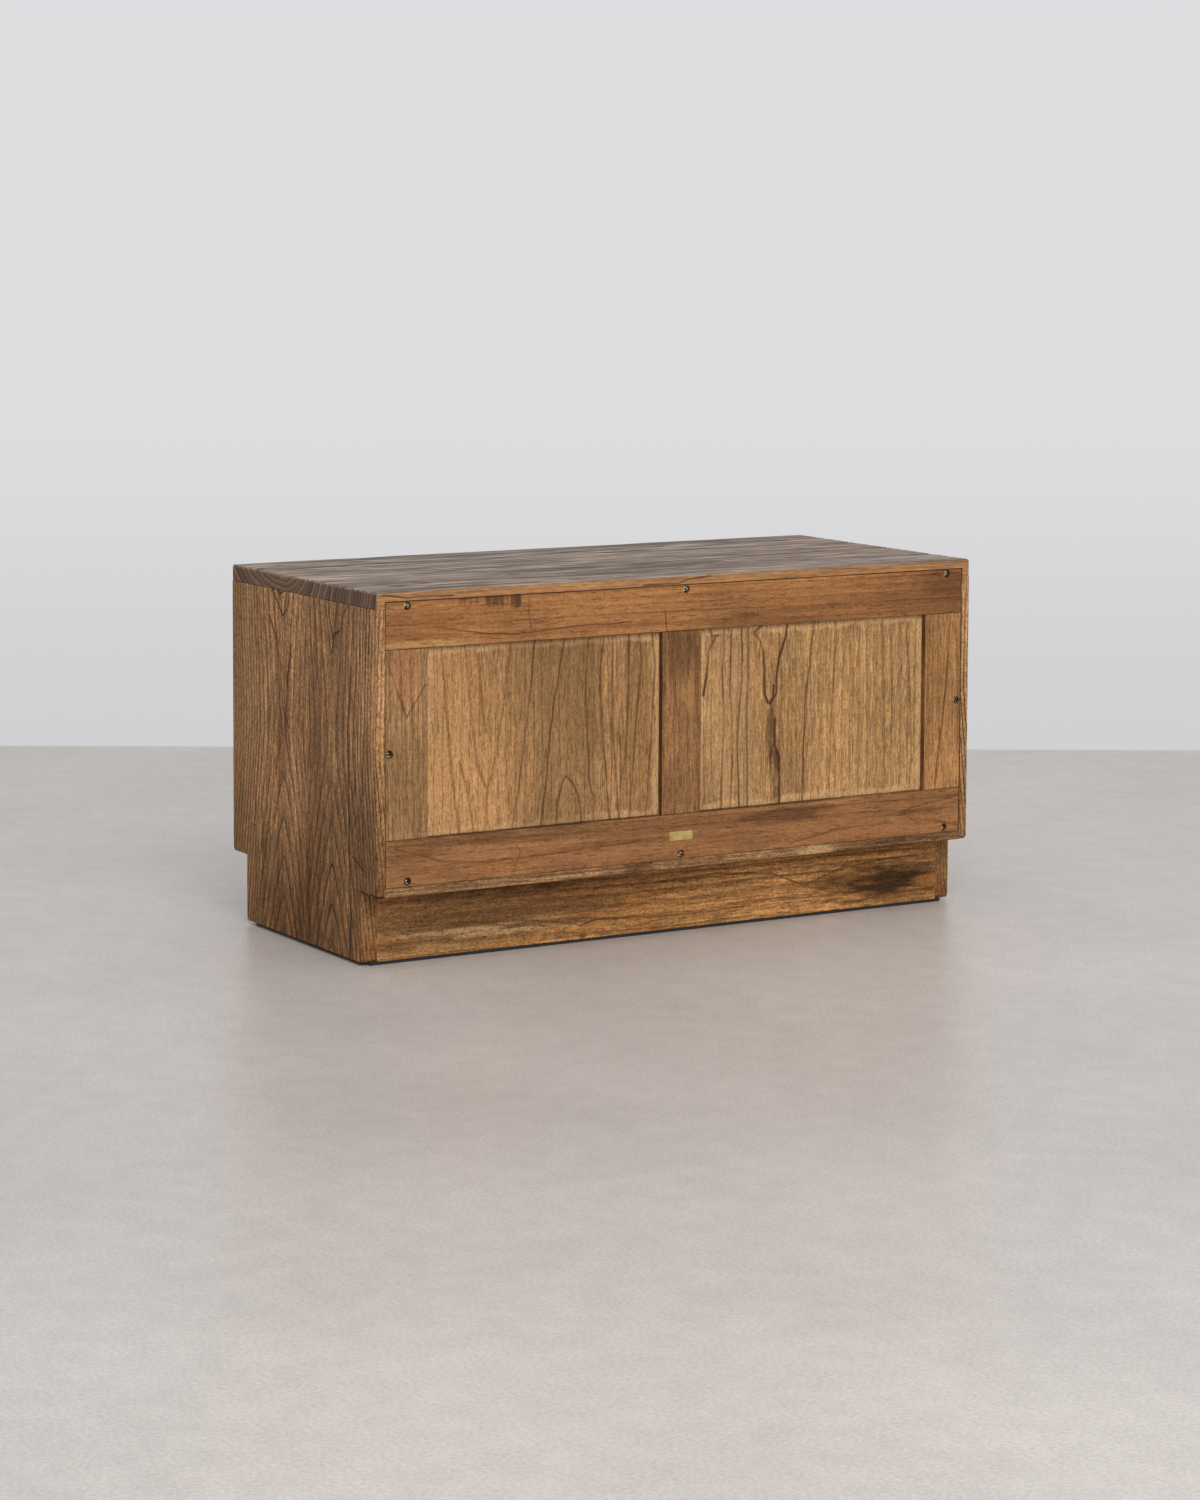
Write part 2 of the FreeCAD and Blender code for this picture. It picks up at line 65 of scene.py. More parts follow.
def tone(red: int, green: int, blue: int) -> Colour:
    """Turns a screen tone into the linear colour that the shaders take.

    Args:
        red: Screen value from 0 to 255.
        green: Screen value from 0 to 255.
        blue: Screen value from 0 to 255.

    Returns:
        The linear colour with full alpha.
    """
    def channel(value: int) -> float:
        """Linear value of one screen channel."""
        share = value / 255.0
        return share / 12.92 if share <= 0.04045 else ((share + 0.055) / 1.055) ** 2.4

    return channel(red), channel(green), channel(blue), 1.0


class Axis(Enum):
    """Axes of the shared frame."""

    X = 0
    Y = 1
    Z = 2


class Lie(Enum):
    """How a board lies: the axes along its grain, across its face and through its thickness."""

    UPRIGHT_TO_BACK = (Axis.Z, Axis.X, Axis.Y)
    UPRIGHT_TO_SIDE = (Axis.Z, Axis.Y, Axis.X)
    LEVEL_TO_BACK = (Axis.X, Axis.Z, Axis.Y)
    LEVEL_TO_TOP = (Axis.X, Axis.Y, Axis.Z)


class Side(Enum):
    """Sides of the cabinet, as seen from the front."""

    LEFT = "left"
    RIGHT = "right"


class Step(Enum):
    """Sums that the node sheets use."""

    ADD = "ADD"
    TAKE = "SUBTRACT"
    TIMES = "MULTIPLY"
    OVER = "DIVIDE"
    POWER = "POWER"
    ROOT = "SQRT"
    COSINE = "COSINE"
    SINE = "SINE"
    WHOLE = "FLOOR"
    PART = "FRACT"
    LARGER = "MAXIMUM"
    SMALLER = "MINIMUM"
    SIZE = "ABSOLUTE"


class Number:
    """A number that the nodes of a sheet work out, with the plain sums as operators."""

    def __init__(self, sheet: "NodeSheet", socket: Socket) -> None:
        """Keeps the sheet that the number is on, and the output socket that gives it."""
        self.sheet = sheet
        self.socket = socket

    def __add__(self, other: Value) -> "Number":
        """This number and another."""
        return self.sheet.sum(Step.ADD, self, other)

    def __sub__(self, other: Value) -> "Number":
        """This number less another."""
        return self.sheet.sum(Step.TAKE, self, other)

    def __rsub__(self, other: float) -> "Number":
        """A plain number less this one."""
        return self.sheet.sum(Step.TAKE, other, self)

    def __mul__(self, other: Value) -> "Number":
        """This number times another."""
        return self.sheet.sum(Step.TIMES, self, other)

    def __truediv__(self, other: Value) -> "Number":
        """This number over another."""
        return self.sheet.sum(Step.OVER, self, other)

    def __rtruediv__(self, other: float) -> "Number":
        """A plain number over this one."""
        return self.sheet.sum(Step.OVER, other, self)

    def __pow__(self, power: float) -> "Number":
        """This number raised to a power."""
        return self.sheet.sum(Step.POWER, self, power)

    def __abs__(self) -> "Number":
        """This number without its sign."""
        return self.sheet.sum(Step.SIZE, self)


class NodeSheet:
    """Node tree of one material, with short calls for the nodes that the finishes use."""

    NOISE_MIDDLE = 0.5
    NOISE_REACH = (0.25, 0.75)

    def __init__(self, name: str) -> None:
        """Starts an empty tree.

        Args:
            name: Name of the material.
        """
        self.material = bpy.data.materials.new(name)
        self.material.use_nodes = True
        self.tree = self.material.node_tree
        self.tree.nodes.clear()

    def feed(self, socket: Socket, value: Union[Value, Paint]) -> None:
        """Links a socket to an output, or sets its own value.

        Args:
            socket: Input that takes the value.
            value: Number, output socket or colour.
        """
        source = value.socket if isinstance(value, Number) else value
        if isinstance(source, bpy.types.NodeSocket):
            self.tree.links.new(source, socket)
        else:
            socket.default_value = source

    def places(self) -> tuple[Number, ...]:
        """Reads the Object coordinates of the shaded point.

        Returns:
            One number for each axis.
        """
        coordinates = self.tree.nodes.new("ShaderNodeTexCoord")
        split = self.tree.nodes.new("ShaderNodeSeparateXYZ")
        self.tree.links.new(coordinates.outputs["Object"], split.inputs[0])
        return tuple(Number(self, output) for output in split.outputs)

    def sum(self, step: Step, first: Value, second: Value = 0.0) -> Number:
        """Adds a Math node.

        Args:
            step: The sum to do.
            first: First operand.
            second: Second operand.

        Returns:
            The result.
        """
        node = self.tree.nodes.new("ShaderNodeMath")
        node.operation = step.value
        self.feed(node.inputs[0], first)
        self.feed(node.inputs[1], second)
        return Number(self, node.outputs[0])

    def reach(self, first: Number, second: Number) -> Number:
        """Length of the straight way that has these two sides."""
        return self.sum(Step.ROOT, first * first + second * second)

    def point(self, x: Value, y: Value, z: Value = 0.0) -> Socket:
        """Joins three numbers to a vector.

        Args:
            x: First coordinate.
            y: Second coordinate.
            z: Third coordinate.

        Returns:
            The vector's socket.
        """
        node = self.tree.nodes.new("ShaderNodeCombineXYZ")
        for socket, value in zip(node.inputs, (x, y, z)):
            self.feed(socket, value)
        return node.outputs[0]

    def waves(self, places: Iterable[Number], counts: Iterable[float]) -> Socket:
        """Vector of places, each scaled to its count of waves for each metre."""
        return self.point(*(place * count for place, count in zip(places, counts)))

    def cloud(self, place: Socket, seed: float, detail: float = 2.0) -> Number:
        """Adds a seeded noise.

        Args:
            place: Vector, already scaled.
            seed: Fourth coordinate, which keeps two boards apart.
            detail: Number of finer layers.

        Returns:
            The noise, with values round 0.5.
        """
        node = self.tree.nodes.new("ShaderNodeTexNoise")
        node.noise_dimensions = "4D"
        self.feed(node.inputs["Vector"], place)
        self.feed(node.inputs["W"], seed)
        self.feed(node.inputs["Scale"], 1.0)
        self.feed(node.inputs["Detail"], detail)
        return Number(self, node.outputs["Fac"])

    def lot(self, number: Number) -> Number:
        """Draws a fixed random share for each whole number.

        Args:
            number: The whole number.

        Returns:
            The share, from 0 to 1.
        """
        node = self.tree.nodes.new("ShaderNodeTexWhiteNoise")
        node.noise_dimensions = "1D"
        self.feed(node.inputs["W"], number)
        return Number(self, node.outputs["Value"])

    def ramp(self, value: Value, start: float, end: float, low: float = 0.0, high: float = 1.0) -> Number:
        """Eases a value from one range to another, held at both ends.

        Args:
            value: Number to ease.
            start: Input at which the result is low.
            end: Input at which the result is high.
            low: Result at the start.
            high: Result at the end.

        Returns:
            The result.
        """
        node = self.tree.nodes.new("ShaderNodeMapRange")
        node.interpolation_type = "SMOOTHSTEP"
        node.clamp = True
        for socket, number in zip(node.inputs, (value, start, end, low, high)):
            self.feed(socket, number)
        return Number(self, node.outputs[0])

    def mix(self, share: Value, first: Paint, second: Paint, kind: str = "MIX") -> Socket:
        """Mixes two colours.

        Args:
            share: Share of the second colour.
            first: First colour.
            second: Second colour.
            kind: Blender's name of the mix.

        Returns:
            The colour's socket.
        """
        node = self.tree.nodes.new("ShaderNodeMix")
        node.data_type = "RGBA"
        node.blend_type = kind
        for place, value in zip((0, 6, 7), (share, first, second)):
            self.feed(node.inputs[place], value)
        return node.outputs[2]

    def shade(self, colour: Paint, light: Value) -> Socket:
        """Multiplies a colour by a number.

        Args:
            colour: The colour.
            light: The number.

        Returns:
            The new colour's socket.
        """
        node = self.tree.nodes.new("ShaderNodeVectorMath")
        node.operation = "SCALE"
        self.feed(node.inputs[0], colour if isinstance(colour, bpy.types.NodeSocket) else colour[:3])
        self.feed(node.inputs["Scale"], light)
        return node.outputs[0]

    def vary(self, colour: Paint, cloud: Number, contrast: float) -> Socket:
        """Lightens and darkens a colour by a noise, up and down by the contrast."""
        return self.shade(colour, self.ramp(cloud, *self.NOISE_REACH, 1.0 - contrast, 1.0 + contrast))

    def arrows(self, kind: str, first: Socket, second: Union[Socket, Vector]) -> bpy.types.Node:
        """Adds a sum of two vectors.

        Args:
            kind: Blender's name of the sum.
            first: First vector.
            second: Second vector.

        Returns:
            The node, whose outputs are a vector and a number.
        """
        node = self.tree.nodes.new("ShaderNodeVectorMath")
        node.operation = kind
        self.feed(node.inputs[0], first)
        self.feed(node.inputs[1], second)
        return node

    def off_lines(self, place: Socket, lines: Iterable[Line]) -> Value:
        """Distance of a flat place from the nearest of several bent lines.

        Args:
            place: The place, in metres.
            lines: For each line the places that it joins, in millimetres.

        Returns:
            The distance in metres, 1 at most.
        """
        nearest: Value = 1.0
        for start, end in (run for line in lines for run in zip(line, line[1:])):
            first = Vector((*start, 0.0)) / MM_IN_METRE
            run = Vector((*end, 0.0)) / MM_IN_METRE - first
            offset = self.arrows("SUBTRACT", place, first).outputs[0]
            share = self.arrows("DOT_PRODUCT", offset, run / run.length_squared).outputs[1]
            share = self.sum(Step.LARGER, self.sum(Step.SMALLER, share, 1.0), 0.0)
            foot = self.shade((*run, 1.0), share)
            nearest = self.sum(Step.SMALLER, nearest, self.arrows("DISTANCE", offset, foot).outputs[1])
        return nearest

    def relief(self, height: Number, depth: float) -> Socket:
        """Turns a height into a bumped normal.

        Args:
            height: Height from 0 to 1.
            depth: Real depth of the relief in metres.

        Returns:
            The normal's socket.
        """
        node = self.tree.nodes.new("ShaderNodeBump")
        node.inputs["Strength"].default_value = 1.0
        node.inputs["Distance"].default_value = depth
        self.feed(node.inputs["Height"], height)
        return node.outputs["Normal"]

    def attribute(self, name: str) -> Number:
        """Reads a number that the piece's own mesh carries.

        Args:
            name: Name of the mesh's attribute.

        Returns:
            The number.
        """
        node = self.tree.nodes.new("ShaderNodeAttribute")
        node.attribute_name = name
        return Number(self, node.outputs["Fac"])

    def shader(self, settings: dict[str, Union[Value, Paint]]) -> Socket:
        """Adds a surface shader.

        Args:
            settings: Value or socket for each named input of the shader.

        Returns:
            The shader's socket.
        """
        node = self.tree.nodes.new("ShaderNodeBsdfPrincipled")
        for name, value in settings.items():
            self.feed(node.inputs[name], value)
        return node.outputs[0]

    def end(self, shader: Socket) -> bpy.types.Material:
        """Ends the tree in a shader.

        Args:
            shader: The shader's socket.

        Returns:
            The finished material.
        """
        output = self.tree.nodes.new("ShaderNodeOutputMaterial")
        self.tree.links.new(shader, output.inputs[0])
        return self.material


@dataclass(frozen=True)
class Streak:
    """A noise that is drawn out along a board's grain.

    Attributes:
        fine: Waves for each metre across the grain.
        long: Waves for each metre along it.
        detail: Number of finer layers.
        seed: Keeps two noises of one board apart.
    """

    fine: float
    long: float
    detail: float = 2.0
    seed: float = 0.0


class BoardSheet(NodeSheet):
    """Node sheet of a board, with the places along its grain, across its face and through it."""

    SEED_STEP = 0.01

    def __init__(self, name: str, lie: Lie, seed: float) -> None:
        """Starts an empty tree and reads the Object coordinates.

        Args:
            name: Name of the material.
            lie: How the board lies.
            seed: Keeps two boards apart.
        """
        super().__init__(name)
        places = self.places()
        self.along, self.across, self.through = (places[axis.value] for axis in lie.value)
        self.seed = seed

    def streaks(self, streak: Streak) -> Number:
        """Noise drawn out along the grain, with values round 0.5."""
        place = self.waves((self.across, self.through, self.along), (streak.fine, streak.fine, streak.long))
        return self.cloud(place, self.seed + self.SEED_STEP * streak.fine + streak.seed, streak.detail)

    def wander(self, streak: Streak) -> Number:
        """Noise drawn out along the grain, with values round 0."""
        return self.streaks(streak) - self.NOISE_MIDDLE


@dataclass(frozen=True)
class Stain:
    """A soft patch of another tone on a board's face.

    Attributes:
        along: Middle of the patch along the grain.
        across: Middle of the patch across the face.
        length: Half its length along the grain.
        width: Half its width across the face.
        colour: Tone that the patch takes on.
        force: Share of the tone at its middle.
        ragged: How far noise eats into the rim.
        corner: 2 gives an oval, more gives squarer corners.
        crosswise: Whether the noise runs across the grain, as in a burn from a tool.
    """

    LONG_BITE = Streak(150.0, 25.0, 3.0, 5.0)
    CROSS_BITE = Streak(40.0, 220.0, 3.0, 5.0)

    along: float
    across: float
    length: float
    width: float
    colour: Colour
    force: float = 0.7
    ragged: float = 0.8
    corner: float = 2.0
    crosswise: bool = False

    def lay(self, sheet: BoardSheet, colour: Socket, number: int) -> Socket:
        """Lays the patch over a colour.

        Args:
            sheet: Node sheet of the board.
            colour: Colour so far.
            number: Number of the patch, which seeds its rim.

        Returns:
            The new colour's socket.
        """
        far = (sheet.along - self.along) / self.length
        wide = (sheet.across - self.across) / self.width
        reach = abs(far) ** self.corner + abs(wide) ** self.corner
        bite = self.CROSS_BITE if self.crosswise else self.LONG_BITE
        bitten = sheet.wander(replace(bite, seed=bite.seed + number)) * (4.0 * self.ragged)
        share = sheet.ramp(reach + bitten, 0.0, 1.0, self.force, 0.0)
        return sheet.mix(share, colour, self.colour)


@dataclass(frozen=True)
class GrainLines:
    """Dark lines on a board's face: single rings, cracks, tears, and painted shade in the joints.

    Attributes:
        lines: For each line the places that it joins, along the grain and across the face, in millimetres.
        colour: Their tone.
        width: Half their width in metres.
        force: Share of that tone.
        stray: How far they stray, in metres.
    """

    STRAY = Streak(70.0, 30.0, seed=8.0)
    FADE = Streak(50.0, 12.0, seed=6.0)
    FADE_REACH = (0.3, 0.6)

    lines: tuple[Line, ...]
    colour: Colour = tone(74, 46, 26)
    width: float = 0.0024
    force: float = 0.8
    stray: float = 0.0012

    def draw(self, sheet: BoardSheet, across: Number, colour: Socket) -> Socket:
        """Draws the lines over a colour.

        Args:
            sheet: Node sheet of the board.
            across: Place across the face.
            colour: Colour so far.

        Returns:
            The new colour's socket.
        """
        strayed = across + sheet.wander(self.STRAY) * (4.0 * self.stray)
        reach = sheet.off_lines(sheet.point(sheet.along, strayed), self.lines)
        fade = sheet.ramp(sheet.streaks(self.FADE), *self.FADE_REACH, 0.5 * self.force, self.force)
        share = sheet.ramp(reach, 0.25 * self.width, self.width, 1.0, 0.0) * fade
        return sheet.mix(share, colour, self.colour)


def outline(along: Span, across: Span) -> Line:
    """Closed line round a flat face, in millimetres."""
    return tuple((along[turn in (1, 2)], across[turn in (2, 3)]) for turn in (0, 1, 2, 3, 0))


def seam(along: Span, across: Span) -> GrainLines:
    """Dark line in the joint round a board's face, given in millimetres: painted shade of the gap, with some
    dirt.
    """
    return GrainLines((outline(along, across),), tone(54, 35, 22), 0.0014, 0.8, 0.0002)


def screw_hole_shade(along: float, across: float) -> Stain:
    """Painted shade on the wall of the hole that a screw head sits in."""
    return Stain(along, across, 0.0072, 0.0072, tone(34, 22, 14), 1.0, 0.0)


@dataclass(frozen=True)
class Rim:
    """Border of a panel, where the oil is rubbed thin and the wood is paler.

    Attributes:
        across: Two edges of the panel across its face.
        along: Two edges of the panel along its grain.
        reach: Width of the paler border.
        colour: Its tone.
        force: Share of that tone at the edge.
    """

    WANDER = Streak(25.0, 14.0)

    across: Span
    along: Span
    reach: float
    colour: Colour
    force: float = 0.5

    def lay(self, sheet: BoardSheet, colour: Socket) -> Socket:
        """Lays the border over a colour.

        Args:
            sheet: Node sheet of the board.
            colour: Colour so far.

        Returns:
            The new colour's socket.
        """
        nearest = sheet.across - self.across[0]
        others = (self.across[1] - sheet.across, sheet.along - self.along[0], self.along[1] - sheet.along)
        for gap in others:
            nearest = sheet.sum(Step.SMALLER, nearest, gap)
        uneven = sheet.wander(self.WANDER) * (2.0 * self.reach)
        share = sheet.ramp(nearest + uneven, 0.5 * self.reach, self.reach, self.force, 0.0)
        return sheet.mix(share, colour, self.colour)


@dataclass(frozen=True)
class Figure:
    """How the rings run over a board's face.

    The ring number is a wave across the face, or an arch in each glued plank, plus a climb along
    the grain. Together they give the arches and points of a sawn board where they are wanted.

    Attributes:
        lean: Rings for each metre across the face.
        swing: Half the rise of the wave, in rings.
        period: Length of the wave across the face.
        valley: Place across the face where the wave is lowest.
        arch: Rise of the arch in each plank, in rings.
        point: Power of the arch: 2 gives a round one, less a pointed one.
        plank: Width of each arched plank.
        seam: Place of the first seam; the planks outside the arched ones are straight-grained.
        planks: Number of arched planks.
        lag: Rings by which each plank lags behind the one before.
        start: Ring number at the start of the count.
        climb: Rings for each metre along the grain, away from the turn.
        tilt: Rings for each metre along the grain that are added on both sides of the turn.
        turn: Place along the grain where the climb turns back.
        blunt: Length over which it turns.
        sway: Slow wander of the rings, in rings.
        ripple: Short wander of the rings, in rings.
    """

    # Rings for each metre through the board, fewest rings for each metre, and noises of the wander
    RINGS_THROUGH = 160.0
    SLOWEST_PACE = 4.0
    SEAM_GAP = 0.0001
    SLOW = Streak(9.0, 3.2, 1.0)
    QUICK = Streak(70.0, 16.0, 1.0)

    lean: float = 0.0
    swing: float = 0.0
    period: float = 0.27
    valley: float = 0.0
    arch: float = 0.0
    point: float = 1.3
    plank: float = 0.15
    seam: float = 0.0
    planks: int = 2
    lag: float = 0.0
    start: float = 0.0
    climb: float = 5.5
    tilt: float = 0.0
    turn: float = 2.0
    blunt: float = 0.06
    sway: float = 0.4
    ripple: float = 0.08

    def plank_place(self, sheet: BoardSheet) -> Number:
        """Place across the face, counted in planks from the first seam."""
        return (sheet.across - self.seam) / self.plank

    def _arches(self, sheet: BoardSheet) -> tuple[Number, Number]:
        """What the planks add: an arch in each, and straight lines past the outer seams.

        Args:
            sheet: Node sheet of the board.

        Returns:
            The ring number, and its slope across the face.
        """
        place = self.plank_place(sheet)
        inside = sheet.sum(Step.LARGER, place, 0.0)
        inside = sheet.sum(Step.SMALLER, inside, self.planks - self.SEAM_GAP)
        middle = abs(sheet.sum(Step.PART, inside) - 0.5) * 2.0
        arch = middle ** self.point * -self.arch
        straight = abs(place - inside) * (-4.0 * self.arch)
        start = sheet.sum(Step.WHOLE, inside) * self.lag
        slope = middle ** (self.point - 1.0) * (2.0 * self.arch * self.point / self.plank)
        return arch + straight + start, slope

    def _wave(self, sheet: BoardSheet) -> tuple[Number, Number]:
        """What the wave and the lean across the face add.

        Args:
            sheet: Node sheet of the board.

        Returns:
            The ring number, and its slope across the face.
        """
        turns = 2.0 * math.pi / self.period
        angle = (sheet.across - self.valley) * turns
        wave = sheet.sum(Step.COSINE, angle) * -self.swing
        steep = sheet.sum(Step.SINE, angle) * (self.swing * turns)
        return wave + sheet.across * self.lean, steep + self.lean

    def _climb(self, sheet: BoardSheet) -> tuple[Number, Number]:
        """What the climb and the tilt along the grain add.

        Args:
            sheet: Node sheet of the board.

        Returns:
            The ring number, and its slope along the grain.
        """
        offset = sheet.along - self.turn
        root = sheet.sum(Step.ROOT, offset * offset + self.blunt ** 2)
        steep = offset / root * self.climb
        return root * self.climb + sheet.along * self.tilt, steep + self.tilt

    def rings(self, sheet: BoardSheet) -> tuple[Number, Number]:
        """Ring number of the shaded point, with its wander, and how fast it changes.

        Args:
            sheet: Node sheet of the board.

        Returns:
            The ring number, and the rings for each metre.
        """
        across, steep_across = self._wave(sheet)
        along, steep_along = self._climb(sheet)
        rings = across + along + sheet.through * self.RINGS_THROUGH
        for streak, swing in ((self.SLOW, self.sway), (self.QUICK, self.ripple)):
            rings = rings + sheet.wander(streak) * (2.0 * swing)
        if self.arch:
            arches, steep = self._arches(sheet)
            rings = rings + arches
            steep_across = steep_across + steep
        pace = sheet.sum(Step.LARGER, sheet.reach(steep_across, steep_along), self.SLOWEST_PACE)
        return rings + self.start, pace


@dataclass(frozen=True)
class WoodFinish:
    """Oiled old wood, drawn as rings that the board's face cuts.

    Attributes:
        name: Name of the material.
        lie: How the board lies.
        pale: Tone of the wood between rings.
        deep: Tone of the darker bands.
        line: Tone of the thin late-wood lines.
        figure: How the rings run.
        line_width: Width of the lines in metres.
        line_force: Darkness of the lines.
        drift: Share of slow changes of tone.
        band: Share by which each ring darkens towards its line.
        fibre: Share of fibre contrast.
        fleck: Share of short fleck contrast.
        grit: Share of contrast in the cut pores.
        saw: Share of contrast in faint saw marks across the grain.
        pores: Darkness of the pores.
        depth: Relief in metres.
        rough: Mean roughness.
        seed: Keeps two boards apart.
        rim: Paler border, if it has one.
        foot: Colour of a painted shade that darkens an upright board towards the floor, if it has one.
        stains: Patches of other tones.
        lines: Single dark lines.
    """

    # Noises of the wood, the values between which they take hold, and what they do
    MOTTLE = Streak(11.0, 2.6)
    MOTTLE_REACH = (0.47, 0.73)
    PLANK_LIGHT = (0.92, 1.08)
    BAND_REACH = (0.1, 1.0)
    DRIFT = Streak(9.0, 6.0, seed=3.0)
    SOFT_FIBRE = Streak(55.0, 2.2)
    SAW_MARKS = Streak(14.0, 300.0, seed=12.0)
    FIBRE = Streak(260.0, 6.0, 3.0)
    FLECK = Streak(430.0, 45.0)
    GRIT = Streak(560.0, 260.0, seed=9.0)
    PORE = Streak(620.0, 60.0, 1.0)
    PORE_REACH = (0.60, 0.70)
    LINE_FADE = Streak(40.0, 5.0)
    LINE_FADE_RAMP = (0.3, 0.6, 0.35, 1.0)
    FAINTEST_LINE = 0.5
    FOOT_SHADE_REACH = (0.30, 0.03)
    FIBRE_RISE = 0.5
    FLECK_RISE = 0.4
    GRIT_RISE = 0.3
    PORE_RISE = -0.5
    ROUGH_REACH = (0.2, 0.8)
    ROUGH_SWING = 0.1
    GLOSS = 0.12

    name: str
    lie: Lie
    pale: Colour
    deep: Colour
    line: Colour
    figure: Figure = Figure()
    line_width: float = 0.0026
    line_force: float = 0.8
    drift: float = 0.14
    band: float = 0.1
    fibre: float = 0.18
    fleck: float = 0.28
    grit: float = 0.24
    saw: float = 0.06
    pores: float = 0.4
    depth: float = 0.0006
    rough: float = 0.6
    seed: float = 0.0
    rim: Optional[Rim] = None
    foot: Optional[Colour] = None
    stains: tuple[Stain, ...] = ()
    lines: tuple[GrainLines, ...] = ()

    def material(self) -> bpy.types.Material:
        """Builds the material from Object coordinates.

        Returns:
            The finished material.
        """
        sheet = BoardSheet(self.name, self.lie, self.seed)
        rings, pace = self.figure.rings(sheet)
        fibre, fleck, grit = (sheet.streaks(streak) for streak in (self.FIBRE, self.FLECK, self.GRIT))
        pore = sheet.ramp(sheet.streaks(self.PORE), *self.PORE_REACH)
        colour = self._ground(sheet, rings)
        colour = sheet.vary(colour, fibre, self.fibre)
        colour = sheet.vary(colour, fleck, self.fleck)
        if self.rim:
            colour = self.rim.lay(sheet, colour)
        for number, stain in enumerate(self.stains):
            colour = stain.lay(sheet, colour, number)
        colour = sheet.mix(self._line(sheet, rings, pace), colour, self.line)
        for lines in self.lines:
            colour = lines.draw(sheet, sheet.across, colour)
        if self.foot:
            # Painted shade: the board darkens towards the floor.
            colour = sheet.mix(sheet.ramp(sheet.along, *self.FOOT_SHADE_REACH), colour, self.foot, "MULTIPLY")
        colour = sheet.vary(colour, grit, self.grit)
        colour = sheet.shade(colour, sheet.ramp(pore, 0.0, 1.0, 1.0, 1.0 - self.pores))
        height = fibre * self.FIBRE_RISE + fleck * self.FLECK_RISE
        height = height + grit * self.GRIT_RISE + pore * self.PORE_RISE
        most, least = self.rough + self.ROUGH_SWING, self.rough - self.ROUGH_SWING
        return sheet.end(sheet.shader({
            "Base Color": colour,
            "Roughness": sheet.ramp(fibre, *self.ROUGH_REACH, most, least),
            "Specular IOR Level": self.GLOSS,
            "Normal": sheet.relief(height, self.depth),
        }))

    def _ground(self, sheet: BoardSheet, rings: Number) -> Socket:
        """Tone under the fibres: slow changes, planks, rings and saw marks.

        Args:
            sheet: Node sheet of the board.
            rings: Ring number.

        Returns:
            The colour's socket.
        """
        share = sheet.ramp(sheet.streaks(self.MOTTLE), *self.MOTTLE_REACH)
        colour = sheet.mix(share, self.pale, self.deep)
        if self.figure.arch:
            plank = sheet.lot(sheet.sum(Step.WHOLE, self.figure.plank_place(sheet)) + self.seed)
            colour = sheet.shade(colour, sheet.ramp(plank, 0.0, 1.0, *self.PLANK_LIGHT))
        part = sheet.sum(Step.PART, rings)
        light = sheet.ramp(part, *self.BAND_REACH, 1.0 + 0.6 * self.band, 1.0 - self.band)
        colour = sheet.shade(colour, light)
        slow = ((self.DRIFT, self.drift), (self.SOFT_FIBRE, 0.7 * self.fibre), (self.SAW_MARKS, self.saw))
        for streak, contrast in slow:
            colour = sheet.vary(colour, sheet.streaks(streak), contrast)
        return colour

    def _line(self, sheet: BoardSheet, rings: Number, pace: Number) -> Number:
        """Darkness of the late-wood line, which differs from ring to ring and fades in places.

        Args:
            sheet: Node sheet of the board.
            rings: Ring number.
            pace: Rings for each metre.

        Returns:
            The darkness, from 0 to 1.
        """
        part = sheet.sum(Step.PART, rings)
        chance = sheet.lot(sheet.sum(Step.WHOLE, rings) + (3.0 * self.seed + 0.5))
        rise = sheet.ramp((1.0 - part) / pace, 0.3 * self.line_width, self.line_width, 1.0, 0.0)
        fall = sheet.ramp(part / pace, 0.0, 0.4 * self.line_width, 1.0, 0.0)
        fade = sheet.ramp(sheet.streaks(self.LINE_FADE), *self.LINE_FADE_RAMP)
        force = sheet.ramp(chance, 0.0, 1.0, self.FAINTEST_LINE, 1.0) * fade
        return sheet.sum(Step.LARGER, rise, fall) * (force * self.line_force)


